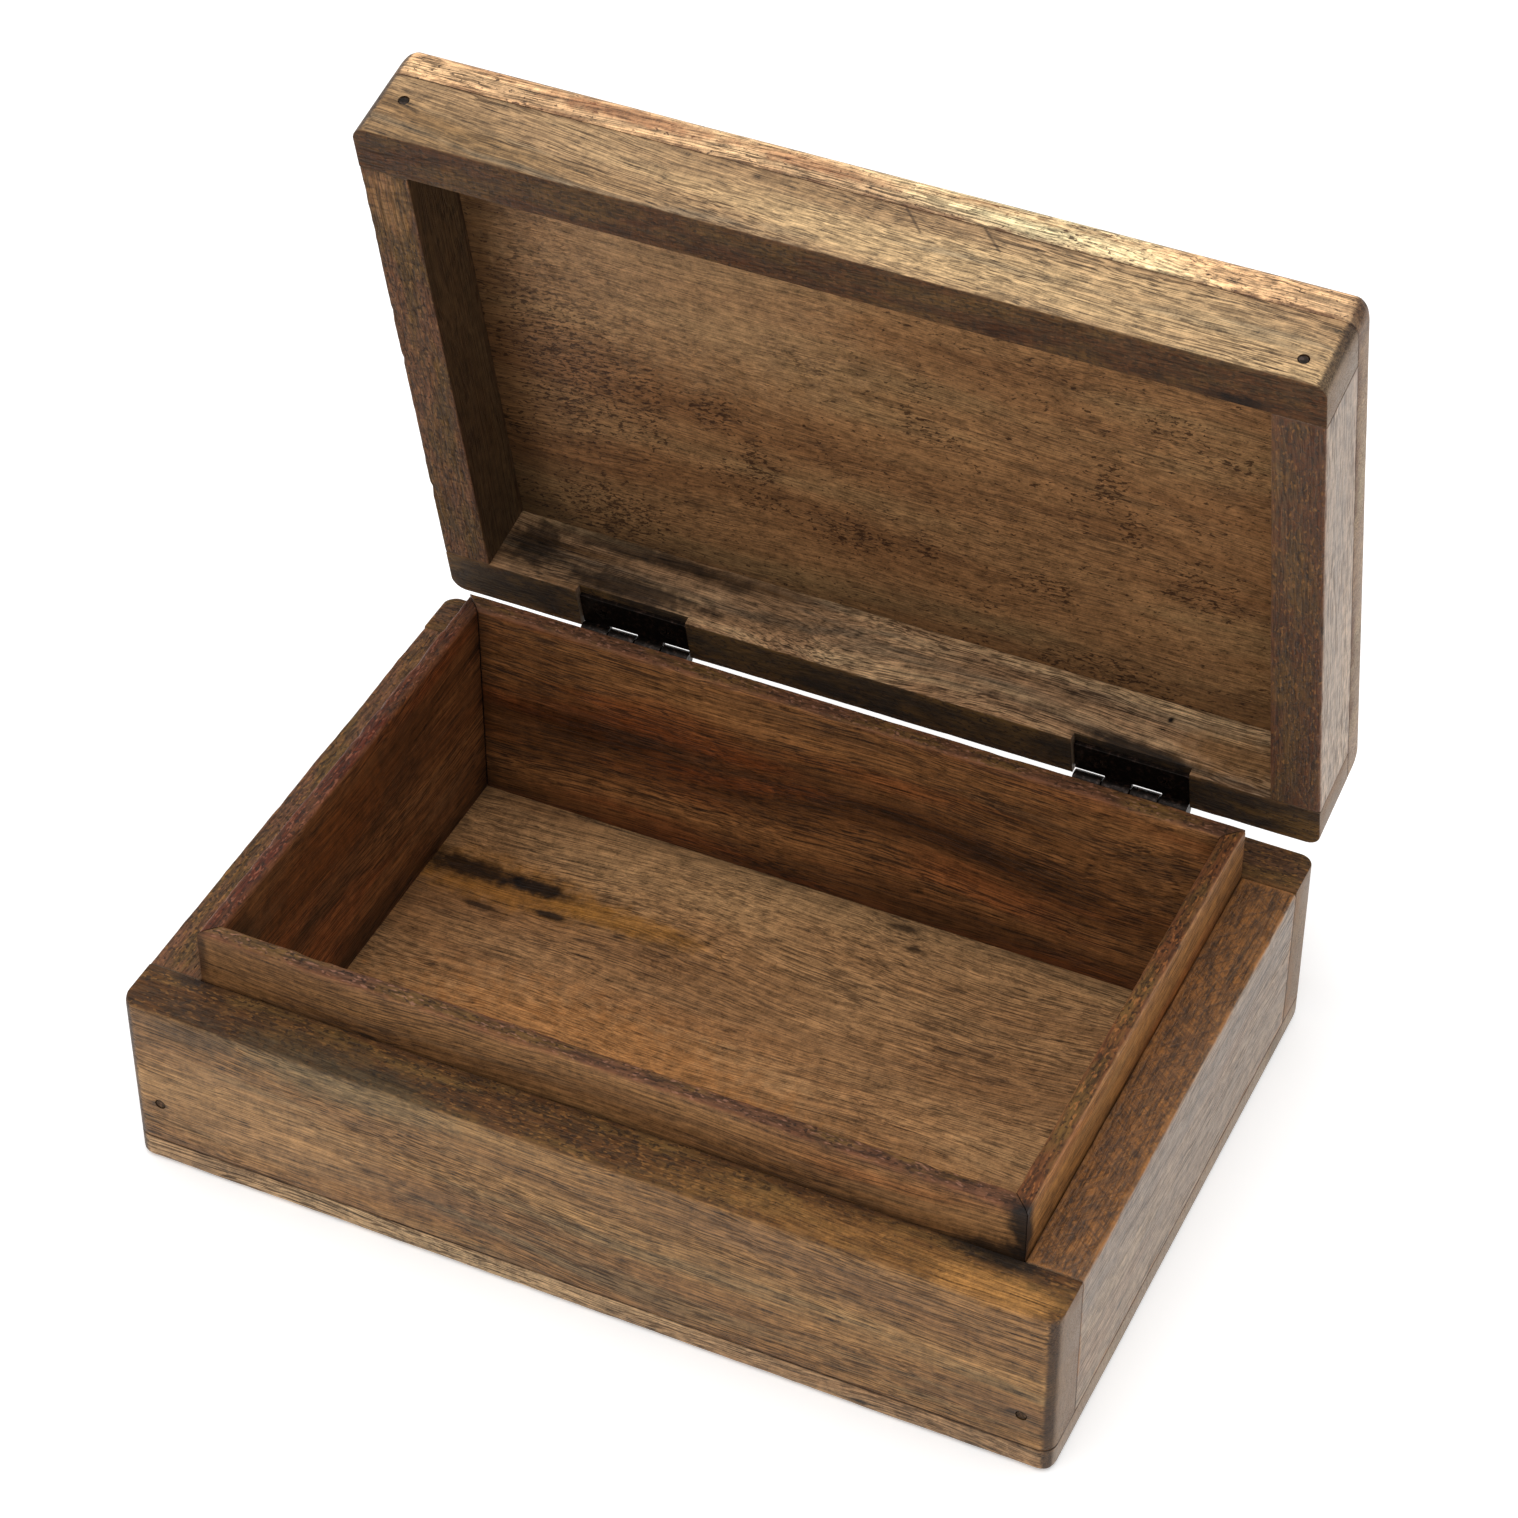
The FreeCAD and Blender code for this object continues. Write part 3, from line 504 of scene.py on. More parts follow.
def buildBoard(name, node, place, changes, finish, body, holes=None):
    # a board is lofted from rounded sections, so that each edge wears in its own way
    plan = {**plainBoard, **changes}
    low, high = (corner / mm for corner in ownBox(node, place))
    swap = plan["along"] == "Y"
    u0, u1, v0, v1 = (low.y, high.y, low.x, high.x) if swap else (low.x, high.x, low.y, high.y)
    w0, w1 = low.z, high.z
    seed = plan["seed"] * loft["seedStep"]
    cuts = loft["endCuts"]
    count = max(2, round((u1 - u0 - 2 * cuts[-1]) / plan["step"]))
    inner = [u0 + cuts[-1] + (u1 - u0 - 2 * cuts[-1]) * i / count for i in range(1, count)]
    stations = [u0 + c for c in cuts] + inner + [u1 - c for c in reversed(cuts)]
    lip = loft["notchLip"]
    for start, end, *_ in plan["notches"]:
        stations = [s for s in stations if min(abs(s - start), abs(s - end)) > loft["notchRoom"]]
        stations += [start - lip, start + lip, end - lip, end + lip]
    stations.sort()
    countV = max(2, round((v1 - v0) / loft["stepV"]))
    countW = max(2, round((w1 - w0) / loft["stepW"]))
    points = loft["arcPoints"]
    signs = ((1, 1), (-1, 1), (-1, -1), (1, -1))
    middleV = (v0 + v1) / 2

    mesh = bmesh.new()
    arris = mesh.verts.layers.float.new("arris")
    loops = []
    for s in stations:
        d = min(s - u0, u1 - s)
        along = (s - u0) / (u1 - u0)
        lean, lift = (plan[key][0] + (plan[key][1] - plan[key][0]) * along for key in ("lean", "lift"))
        ease = arc(plan["endEase"], d)
        bounds = [
            v0 + max(arc(plan["corner"][0], d), ease), v1 - max(arc(plan["corner"][1], d), ease),
            w0 + max(arc(plan["endRound"][0], d), ease), w1 + lift - max(arc(plan["endRound"][1], d), ease)]
        notched = None
        for start, end, depth, top in plan["notches"]:
            if start < s < end:
                notched = top
                bounds[3 if top else 2] += -depth if top else depth
        limit = loft["mostRound"] * min(bounds[1] - bounds[0], bounds[3] - bounds[2])
        loop = []
        for k in range(4):
            sway = wobble(s / loft["longSway"] + seed, k * 5.1, 0.3)
            sway += loft["shortShare"] * wobble(s / loft["shortSway"] + seed, k * 3.3, 7.1)
            radius = plan["edges"][k] * (1 + plan["rough"][k] * sway)
            bite = max(0.0, wobble(s / loft["biteSize"] + seed, k * 9.7, 3.7) - loft["biteCut"])
            radius = min(limit, max(loft["leastRound"], radius + plan["chips"][k] * bite))
            if notched is not None and (k > 1) == notched:
                radius = loft["notchRound"]
            cornerV = bounds[0] if signs[k][0] > 0 else bounds[1]
            cornerW = bounds[2] if signs[k][1] > 0 else bounds[3]
            centreV = cornerV + signs[k][0] * radius
            centreW = cornerW + signs[k][1] * radius
            turn = math.pi + k * math.pi / 2
            for step in range(points):
                angle = turn + step * math.pi / 2 / (points - 1)
                loop.append((centreV + radius * math.cos(angle), centreW + radius * math.sin(angle)))
        full = []
        for k in range(4):
            following = (k + 1) * points
            full += loop[k * points:following]
            start, end = loop[following - 1], loop[following % len(loop)]
            steps = countV if k % 2 == 0 else countW
            for step in range(1, steps):
                part = step / steps
                full.append((start[0] + (end[0] - start[0]) * part, start[1] + (end[1] - start[1]) * part))
        ring = []
        for v, w in full:
            u = s
            if notched is None or w > w0 + loft["knuckleRoom"]:
                v += lean * max(0.0, (v - middleV) / (v1 - middleV)) * max(0.0, (w1 - w) / (w1 - w0))
            if plan["mitre"]:
                setBack = (v - v0) if plan["mitre"] > 0 else (v1 - v)
                middle, half = (u0 + u1) / 2, (u1 - u0) / 2
                u = middle + (s - middle) * (half - setBack) / half
            vertex = mesh.verts.new(Vector((v, u, w) if swap else (u, v, w)) * mm)
            gaps = sorted((max(0.0, min(u - u0, u1 - u)), min(v - v0, v1 - v), min(w - w0, w1 - w)))
            vertex[arris] = math.exp(-max(0.0, gaps[1]) / loft["arrisReach"])
            ring.append(vertex)
        loops.append(ring)
    for ring, following in zip(loops, loops[1:]):
        for i in range(len(ring)):
            j = (i + 1) % len(ring)
            mesh.faces.new((ring[i], ring[j], following[j], following[i]))
    mesh.faces.new(loops[0])
    mesh.faces.new(loops[-1])
    bmesh.ops.recalc_face_normals(mesh, faces=mesh.faces)
    mesh.normal_update()
    size = loft["dentSize"]
    for vertex in mesh.verts:
        x, y, z = vertex.co / mm
        dent = 0.5 + 0.5 * wobble(x / size + seed, y / size, z / size)
        vertex.co -= vertex.normal * (plan["uneven"] * dent * mm)
    for face in mesh.faces:
        face.smooth = True
    return addPiece(name, mesh, place, finish, body, [node], holes)


sharpAngle = math.radians(40)
weldRoom = 1e-6  # points nearer than this, in metres, are one
sliverRoom = 0.005 * mm


def addPiece(name, mesh, place, finish, body, replaced, cutter=None):
    data = bpy.data.meshes.new(name)
    bmesh.ops.transform(mesh, matrix=place, verts=mesh.verts)
    mesh.to_mesh(data)
    mesh.free()
    data.materials.append(finish)
    piece = bpy.data.objects.new(name, data)
    bpy.context.scene.collection.objects.link(piece)
    if cutter:
        bmesh.ops.transform(cutter, matrix=place, verts=cutter.verts)
        cutAway(piece, cutter)
    piece.data.set_sharp_from_angle(angle=sharpAngle)
    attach(piece, body)
    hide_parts(*replaced)
    return piece


def cutAway(piece, cutter):
    data = bpy.data.meshes.new("cutter")
    cutter.to_mesh(data)
    cutter.free()
    tool = bpy.data.objects.new("cutter", data)
    bpy.context.scene.collection.objects.link(tool)
    carve = piece.modifiers.new("carve", "BOOLEAN")
    carve.operation = "DIFFERENCE"
    carve.solver = "EXACT"
    carve.object = tool
    ready = piece.evaluated_get(bpy.context.evaluated_depsgraph_get())
    carved = bpy.data.meshes.new_from_object(ready)
    piece.modifiers.clear()
    # slivers round the cuts are closed up
    mend = bmesh.new()
    mend.from_mesh(carved)
    bmesh.ops.triangulate(mend, faces=[face for face in mend.faces if len(face.verts) > 4])
    bmesh.ops.dissolve_degenerate(mend, edges=mend.edges, dist=sliverRoom)
    mend.to_mesh(carved)
    mend.free()
    whole = piece.data
    piece.data = carved
    carved.name = whole.name
    bpy.data.objects.remove(tool)
    bpy.data.meshes.remove(data)
    bpy.data.meshes.remove(whole)


seatRoom = 0.3  # at each end of a leaf, in millimetres


def mortises(node, place, hingeNodes, top):
    # where the hinges are let into a back board, read from the leaves
    low, high = ownBox(node, place)
    found = []
    for leaf in hingeNodes:
        leafLow, leafHigh = ownBox(leaf, place)
        seat = (high.z - leafLow.z) if top else (leafHigh.z - low.z)
        found.append((leafLow.x / mm - seatRoom, leafHigh.x / mm + seatRoom, seat / mm, top))
    return found


def islands(node, place):
    # boxes of a node's separate solids, in its own body's frame
    mesh = bmesh.new()
    mesh.from_mesh(nodes[node].data)
    bmesh.ops.transform(mesh, matrix=place.inverted(), verts=mesh.verts)
    bmesh.ops.remove_doubles(mesh, verts=mesh.verts, dist=weldRoom)
    left = set(mesh.verts)
    found = []
    while left:
        queue = [left.pop()]
        group = []
        while queue:
            vertex = queue.pop()
            group.append(vertex.co.copy())
            for edge in vertex.link_edges:
                other = edge.other_vert(vertex)
                if other in left:
                    left.remove(other)
                    queue.append(other)
        found.append(boxOf(group))
    mesh.free()
    return sorted(found, key=lambda pair: tuple(pair[0]))


def turned(mesh, profile, place, sides=28, ragged=0.0, seed=0.0):
    # lathes (radius, height) pairs, in metres, about the z axis of place
    rings = []
    for radius, height in profile:
        if radius == 0:
            rings.append([mesh.verts.new(place @ Vector((0, 0, height)))])
            continue
        ring = []
        for i in range(sides):
            angle = 2 * math.pi * i / sides
            dent = 0.5 + 0.5 * wobble(math.cos(angle) * 1.7 + seed, math.sin(angle) * 1.7, height * 900)
            r = radius * (1 - ragged * dent)
            ring.append(mesh.verts.new(place @ Vector((r * math.cos(angle), r * math.sin(angle), height))))
        rings.append(ring)
    for first, second in zip(rings, rings[1:]):
        for i in range(sides):
            j = (i + 1) % sides
            corners = [first[i % len(first)], first[j % len(first)], second[j % len(second)], second[i % len(second)]]
            mesh.faces.new(list(dict.fromkeys(corners)))
    bmesh.ops.recalc_face_normals(mesh, faces=mesh.faces)


def crossPrism(mesh, place, reach, half, depth):
    # plus-shaped prism through the origin of place, in metres
    arm = [(reach, -half), (reach, half), (half, half)]
    plan = [(x * c - y * s, x * s + y * c) for c, s in ((1, 0), (0, 1), (-1, 0), (0, -1)) for x, y in arm]
    rings = [[mesh.verts.new(place @ Vector((x, y, z))) for x, y in plan] for z in (-depth, depth)]
    mesh.faces.new(rings[0])
    mesh.faces.new(rings[1])
    for i in range(len(plan)):
        j = (i + 1) % len(plan)
        mesh.faces.new((rings[0][i], rings[0][j], rings[1][j], rings[1][i]))
    bmesh.ops.recalc_face_normals(mesh, faces=mesh.faces)


def nailSpots(node, place):
    # frame of each nail's head, looking out of the wood, with its radius and length
    boxes = islands(node, place)
    middle = sum(low.y + high.y for low, high in boxes) / (2 * len(boxes))
    found = []
    for low, high in boxes:
        front = (low.y + high.y) / 2 < middle
        spot = Vector(((low.x + high.x) / 2, low.y if front else high.y, (low.z + high.z) / 2))
        turn = Matrix.Rotation(math.radians(90 if front else -90), 4, "X")
        found.append((front, Matrix.Translation(spot) @ turn, (high.x - low.x) / 2, high.y - low.y))
    return found


nailHole = {"room": 0.12 * mm, "out": 1 * mm, "depth": 4 * mm, "sides": 24, "ragged": 0.04}


def nailHoles(node, place, front):
    mesh = bmesh.new()
    out, depth = nailHole["out"], nailHole["depth"]
    for i, (atFront, spot, radius, _) in enumerate(nailSpots(node, place)):
        if atFront == front:
            wide = radius + nailHole["room"]
            profile = [(0, out), (wide, out), (wide, -depth), (0, -depth)]
            turned(mesh, profile, spot, nailHole["sides"], nailHole["ragged"], i * 5.3)
    return mesh


# seams between boards: axis, place in millimetres and strength
baseSeam = ("Z", 6.0, 1.0)
baseSideSeams = [baseSeam, ("Y", -57.5, 0.45), ("Y", 57.5, 0.45)]
lidSeam = ("Z", 16.65, 0.4)
lidSideSeams = [lidSeam, ("Y", -129.57, 0.5), ("Y", -12.63, 0.5)]

# boards of the base
baseBottom = {
    "shape": {
        "edges": (1.3, 1.3, 0.35, 0.35), "rough": (0.2, 0.2, 0.4, 0.4), "corner": (3.2, 3.2), "endEase": 0.15,
        "endRound": (1.3, 0.35), "seed": 1,
    },
    "wood": {
        "seed": 1.0, "deep": "8a6645", "mid": "ae8b65", "pale": "c8a87e", "sides": {"+Z": ("9f764e", 0.25, 0.8)},
        "figureSize": (120.0, 30.0), "bend": 16.0, "ashAmount": 0.2, "wearAmount": 0.2,
        # the pale grey of the flat ends is painted sheen
        "fleckAmount": 0.35, "fleckCut": (0.56, 0.7), "endSheen": "a39282",
        # painted shade: the floor darkens along the liner walls
        "cornerShade": [("Y", 53.3, 7, 0.3), ("X", 84, 6, 0.3), ("X", -84, 4, 0.3)],
        "patches": [
            ((-66, 27, 6), (32, 9, 4), "94601f", 0.6), ((-38, 27, 6), (24, 4.5, 4), "a06c2a", 0.6),
            ((-75, 28.5, 6), (19, 4.4, 4), "1a100a", 0.92), ((-59, 28.8, 6), (11, 3.2, 4), "150d08", 0.95),
            ((-67.7, 18.8, 6), (6, 1.3, 3), "1d120a", 0.85), ((-52.7, 22.3, 6), (5, 1.5, 3), "150d08", 0.9),
            ((-30, -10, 6), (56, 17, 4), "a3652a", 0.5), ((40, -22, 6), (60, 16, 4), "9a6730", 0.4),
            ((17.5, 50.6, 6), (4.6, 1.5, 3), "1d120a", 0.85), ((22, 45.4, 6), (3.8, 1.4, 3), "1d120a", 0.8),
            ((35.4, 38.3, 6), (2.2, 0.8, 3), "24160c", 0.7),
        ],
        "seams": [baseSeam],
    },
}
baseFront = {
    "shape": {
        "edges": (0.35, 0.35, 0.3, 0.7), "rough": (0.2, 0.2, 0.4, 0.5), "chips": (0, 0, 0, 1.2),
        "corner": (3.2, 0), "seed": 2,
    },
    "wood": {
        "seed": 2.0, "deep": "785636", "mid": "90693f", "pale": "a17b4e", "slant": 0.02, "ash": "6b6248",
        "warmAmount": 0.12, "poreAmount": 0.65,
        "rim": {"tone": "4b2d13", "hatch": 0.1, "gritAmount": 0.45}, "wear": "6b4526", "wearAmount": 0.4,
        "patches": [
            ((-72, -69.3, 20), (36, 4, 15), "a8835a", 0.5), ((-50, -69.3, 40), (32, 8, 7), "5c563f", 0.45),
            ((-84, -69.3, 40), (14, 8, 5), "3b3020", 0.5),
            ((-60, -66, 43), (42, 6, 2.4), "2c1a0e", 0.5), ((62, -65.5, 43), (52, 7, 2.6), "a0703a", 0.4),
            ((86, -67, 43), (16, 5, 2.6), "b98244", 0.5),
            ((83, -57.5, 43), (14, 4.6, 3), "120b07", 0.9), ((56, -69.3, 30), (16, 5, 1.6), "33271a", 0.45),
            ((92.5, -69.3, 14.6), (3.2, 2, 1.3), "1c130d", 0.7),
            ((-94.2, -69.3, 16), (3, 2, 1.2), "1c130d", 0.7), ((-90, -57.5, 43), (6, 3, 2), "120b07", 0.7),
        ],
        # painted shade: a thin dark line on the rim at the foot of the liner
        "cornerShade": [("Y", -57.5, 0.9, 0.5)], "seams": [baseSeam],
    },
}
baseBack = {
    "shape": {
        "edges": (0.35, 0.35, 0.25, 0.3), "rough": (0.2, 0.2, 0.5, 0.4), "chips": (0, 0, 0.5, 0),
        "corner": (0, 3.2), "seed": 3,
    },
    "wood": {
        "seed": 3.0, "deep": "664722", "mid": "90693b", "pale": "b0884e", "rim": {"tone": "5a3c26", "hatch": 0.25},
        # painted shade: a thin dark line on the rim at the foot of the liner
        "cornerShade": [("Y", 57.5, 0.9, 0.5)], "seams": [baseSeam],
    },
}
baseLeft = {
    "shape": {
        "along": "Y", "edges": (0.35, 0.35, 0.3, 0.7), "rough": (0.2, 0.2, 0.4, 0.5), "chips": (0, 0, 0, 1.2),
        "seed": 4,
    },
    "wood": {
        "along": "Y", "seed": 4.0, "rim": {"tone": "6a452f", "hatch": 0.3}, "wear": "7a4c30",
        # painted shade: a thin dark line on the rim at the foot of the liner
        "cornerShade": [("X", -88.2, 0.9, 0.5)], "seams": baseSideSeams,
    },
}
baseRight = {
    "shape": {
        "along": "Y", "edges": (0.35, 0.35, 0.7, 0.3), "rough": (0.2, 0.2, 0.5, 0.4), "chips": (0, 0, 1.2, 0),
        "seed": 5,
    },
    "wood": {
        "along": "Y", "seed": 5.0, "deep": "6e563f", "mid": "9d8164", "pale": "bfa17a", "gloss": 0.5,
        # painted sheen: the pale grey +X tone, with the board's lighter, greyer tones above, stands in for the sheen
        # on the right face
        "sides": {"+X": ("927b66", 0.5, 0.7)}, "roughness": 0.42,
        "rim": {
            "tone": "7a4d20", "second": "6b4420", "hatch": 0.45, "hatchStep": 0.6,
            "grit": "b07a40", "gritAmount": 0.3, "pits": 0.4,
        },
        "wear": "c08040", "wearAmount": 0.6,
        # painted shade: a thin dark line on the rim at the foot of the liner
        "cornerShade": [("X", 88.2, 0.9, 0.5)], "seams": baseSideSeams,
    },
}
baseBoards = {
    "base_bottom_board": (baseBottom, "bottom_wood", None), "base_front_board": (baseFront, "base_wood", True),
    "base_back_board": (baseBack, "base_wood", False), "base_left_board": (baseLeft, "base_wood", None),
    "base_right_board": (baseRight, "base_wood", None),
}
for node, (board, slot, nailed) in baseBoards.items():
    shape = dict(board["shape"])
    if node == "base_back_board":
        shape["notches"] = mortises(node, basePlace, ("left_hinge_base_leaf", "right_hinge_base_leaf"), True)
    finish = woodFinish(node + "_wood", "base", board["wood"])
    holes = None if nailed is None else nailHoles("base_corner_nails", basePlace, nailed)
    buildBoard(node + "_look", node, basePlace, shape, finish, "base", holes)
print("base boards done")

# liner
linerShape = {
    "edges": (0.2, 0.2, 1.0, 1.0), "rough": (0.2, 0.2, 0.5, 0.5), "chips": (0, 0, 1.6, 1.6), "endEase": 0.2,
    "step": 1.2,
}
linerWood = {
    "deep": "442714", "mid": "7a502d", "pale": "9c6c40", "warm": "9a5026", "warmAmount": 0.4, "ash": "4f4030",
    "wear": "8a5638", "wearAmount": 0.5, "bend": 12.0,
}
linerTop = {"tone": "593926", "hatch": 0.1, "grit": "c08a72", "gritAmount": 0.4}
linerBoards = {
    "liner_front": ({"mitre": 1, "seed": 6}, {
        # painted shade: darker at the foot of the outer face, where it meets the rim
        "seed": 6.0, "rim": linerTop, "sides": {"-Y": ("7b5532", 0.2, 0.8)}, "cornerShade": [("Z", 43, 1.2, 0.4)],
        "patches": [((88, -57.5, 51), (5, 4, 12), "0d0806", 0.95), ((84, -57.5, 43), (12, 4, 4.5), "120b07", 0.85),
                    ((-88, -57.5, 50), (2.4, 3, 8), "1a100a", 0.7)],
    }),
    "liner_back": ({
        "mitre": -1, "seed": 7, "edges": (0.2, 0.2, 0.3, 1.0), "chips": (0, 0, 0.5, 1.6), "lift": (0.45, 0.0),
    }, {
        # painted shade: darker towards the floor and the side walls
        "seed": 7.0, "rim": linerTop, "cornerShade": [("Z", 6, 9, 0.35), ("X", -84, 4, 0.4), ("X", 84, 5, 0.4)],
    }),
    "liner_left": ({"along": "Y", "mitre": 1, "seed": 8, "chips": (0, 0, 1.6, 2.6)}, {
        "along": "Y", "seed": 8.0, "deep": "3a2010", "mid": "6c4426", "pale": "905f36",
        "rim": {**linerTop, "tone": "502010", "second": "52301a", "grit": "b87458"},
        # painted shade: darker towards the floor and the back wall
        "cornerShade": [("Z", 6, 9, 0.4), ("Y", 53.3, 5, 0.4)],
        "patches": [((-84, -50, 50), (3, 8, 6), "120b07", 0.6), ((-84, -14, 44), (3, 34, 12), "8a4a1c", 0.35)],
    }),
    "liner_right": ({"along": "Y", "mitre": -1, "seed": 9}, {
        "along": "Y", "seed": 9.0, "rim": {**linerTop, "tone": "5e361c", "grit": "c77f45"},
        # painted shade: darker at the foot of the outer face, where it meets the rim
        "sides": {"+X": ("9f6d3a", 0.2, 0.6)}, "cornerShade": [("Z", 43, 1.2, 0.4)],
        "patches": [((88, -57.5, 51), (4, 4.5, 11), "0d0806", 0.95)],
    }),
}
for node, (shape, wood) in linerBoards.items():
    finish = woodFinish(node + "_wood", "base", {**linerWood, **wood})
    buildBoard(node + "_look", node, basePlace, {**linerShape, **shape}, finish, "base")
print("liner done")

# boards of the lid, in the lid's own frame: rim at the bottom, front at low y
lidTop = {
    "shape": {
        "edges": (0.15, 0.15, 3.05, 3.05), "rough": (0.1, 0.1, 0.02, 0.02), "corner": (3.2, 3.2),
        "endEase": 0.15, "endRound": (0.15, 3.05), "seed": 10,
    },
    "wood": {
        "seed": 10.0, "deep": "d8a070", "mid": "f9c994", "pale": "ffeab4",
        "sides": {"-Z": ("9f754c", 0.4, 0.6), "+Z": ("9a764e", 0.45, 0.9)},
        "fleckAmount": 0.85, "fleck": "2e170a", "fleckCut": (0.54, 0.7), "mottle": 0.8,
        "fleckHerds": [((x, y, 16.6), (wide, deep, 9), strength) for x, y, wide, deep, strength in (
            (-70, -76, 22, 46, 0.75), (-54, -64, 7, 30, 0.7), (-44, -84, 5, 8, 0.9), (-14, -87, 6, 4, 1.0),
            (-38, -65, 9, 8, 0.8), (-28, -52, 6, 10, 0.9), (-9, -38, 14, 6, 0.8), (8, -40, 4, 6, 0.9),
            (50, -76, 5, 10, 0.9), (54, -64, 4, 7, 1.0), (35, -38, 10, 7, 0.7), (70, -50, 12, 9, 0.7),
            (64, -98, 9, 5, 0.7), (46, -16, 18, 7, 0.7), (-66, -22, 16, 12, 0.9))],
        "warm": "8a4f2a", "warmAmount": 0.6, "figureSize": (140.0, 24.0), "bend": 16.0,
        "wear": "5f351d", "wearAmount": 0.7,
        # painted shade: the panel darkens towards the walls of the lid
        "cornerShade": [
            ("X", -89.2, 18, 0.5, "-Z"), ("X", 89.2, 8, 0.3, "-Z"), ("Y", -129.6, 7, 0.3, "-Z"),
            ("Y", -12.6, 14, 0.35, "-Z"),
        ],
        "seams": [lidSeam],
        "patches": [
            ((100, -138, 21), (5, 8, 5), "4a2c18", 0.6), ((-40, -100, 16.6), (46, 34, 4), "b78f65", 0.55),
            ((-48, -140.4, 21.2), (26, 6, 2.6), "8a5130", 0.7), ((-8, -140.4, 21), (22, 6, 2.2), "8a5130", 0.6),
            ((34, -140.4, 22), (30, 6, 1.8), "9a6238", 0.5), ((-78, -140.4, 23.5), (12, 6, 1.8), "9a6238", 0.4),
        ],
    },
}
lidFront = {
    "shape": {
        "edges": (0.6, 0.3, 0.15, 0.15), "rough": (0.5, 0.4, 0.2, 0.2), "chips": (1.2, 0, 0, 0),
        "corner": (3.2, 0), "seed": 11,
    },
    "wood": {
        "seed": 11.0, "deep": "836540", "mid": "a1805b", "pale": "c09f73", "ash": "6b6454", "ashAmount": 0.55,
        "warmAmount": 0.12, "slant": 0.06, "poreAmount": 0.65,
        "rim": {
            "side": "-Z", "tone": "472712", "second": "543a1c", "hatch": 0.3, "hatchLean": (0.15, -0.1),
            "grit": "7a5030",
        },
        "wear": "6b4a30", "seams": [lidSeam],
        "scratches": [
            ((10.7, -140.4, 16.3), (15.5, -140.4, 11.4), 0.6), ((26.5, -140.4, 16.4), (31.5, -140.4, 11.7), 0.6),
        ],
        "patches": [((82.6, -130.3, 0.2), (8, 2.6, 2), "120b07", 0.85)],
    },
}
lidBack = {
    "shape": {
        "edges": (0.3, 0.25, 0.15, 0.15), "rough": (0.4, 0.5, 0.2, 0.2), "chips": (0, 0.5, 0, 0),
        "corner": (0, 3.2), "seed": 12, "uneven": 0.05, "lean": (0.95, 0.3),
    },
    "wood": {
        "seed": 12.0, "deep": "5a432c", "mid": "a58260", "pale": "d6b68a", "ash": "565044", "ashAmount": 0.6,
        "warmAmount": 0.1, "bend": 24.0, "figureSize": (70.0, 12.0),
        "rim": {"side": "-Z", "tone": "2c2013", "hatch": 0.0, "gritAmount": 0.1},
        "seams": [lidSeam], "wearAmount": 0.15,
        "patches": [
            ((-56, -12.6, 5), (24, 6, 4), "17100b", 0.85), ((60, -12.6, 2.5), (18, 6, 3), "17100b", 0.85),
            ((-82, -12.6, 9), (8, 5, 8), "1c140d", 0.8), ((-36, -12.6, 13), (5, 4, 2), "201710", 0.7),
            ((63.1, -12.6, 12.1), (0.9, 2, 1.2), "0d0806", 1.0), ((-60, -12.6, 14.6), (32, 5, 3), "1c140d", 0.8),
            ((80, -12.6, 8), (16, 5, 7), "8f6434", 0.5),
        ],
    },
}
lidLeft = {
    "shape": {
        "along": "Y", "edges": (0.5, 0.3, 0.15, 0.15), "rough": (0.7, 0.4, 0.2, 0.2), "chips": (2.6, 0, 0, 0),
        "seed": 13,
    },
    "wood": {
        "along": "Y", "seed": 13.0, "sides": {"+X": ("4a3825", 0.25, 0.9)},
        "rim": {
            "side": "-Z", "tone": "70482e", "hatch": 0.45, "hatchStep": 1.1, "hatchLean": (0.05, 1.5),
            "grit": "a87a4c",
        },
        "wear": "4c3020",
        "patches": [((-95, -122, 0.2), (6, 12, 2), "a57a4e", 0.5)],
        "seams": lidSideSeams,
    },
}
lidRight = {
    "shape": {
        "along": "Y", "edges": (0.3, 0.6, 0.15, 0.15), "rough": (0.4, 0.5, 0.2, 0.2), "chips": (0, 1.2, 0, 0),
        "seed": 14,
    },
    "wood": {
        "along": "Y", "seed": 14.0, "deep": "896d4f", "mid": "b7956f", "pale": "ddb788", "gloss": 0.5,
        # painted sheen: the pale grey +X tone, with the board's lighter tones above, stands in for the sheen on the
        # right face
        "sides": {"+X": ("b0967e", 0.45, 0.7)}, "roughness": 0.42,
        "rim": {"side": "-Z", "tone": "4f2911", "second": "543816", "hatch": 0.35},
        "wear": "7a4a2a", "wearAmount": 0.5,
        "seams": lidSideSeams,
    },
}
lidBoards = {
    "lid_top_board": (lidTop, None), "lid_front_board": (lidFront, True), "lid_back_board": (lidBack, False),
    "lid_left_board": (lidLeft, None), "lid_right_board": (lidRight, None),
}
for node, (board, nailed) in lidBoards.items():
    shape = dict(board["shape"])
    if node == "lid_back_board":
        shape["notches"] = mortises(node, lidPlace, ("left_hinge_lid_leaf", "right_hinge_lid_leaf"), False)
    finish = woodFinish(node + "_wood", "lid", board["wood"])
    holes = None if nailed is None else nailHoles("lid_corner_nails", lidPlace, nailed)
    buildBoard(node + "_look", node, lidPlace, shape, finish, "lid", holes)
print("lid boards done")

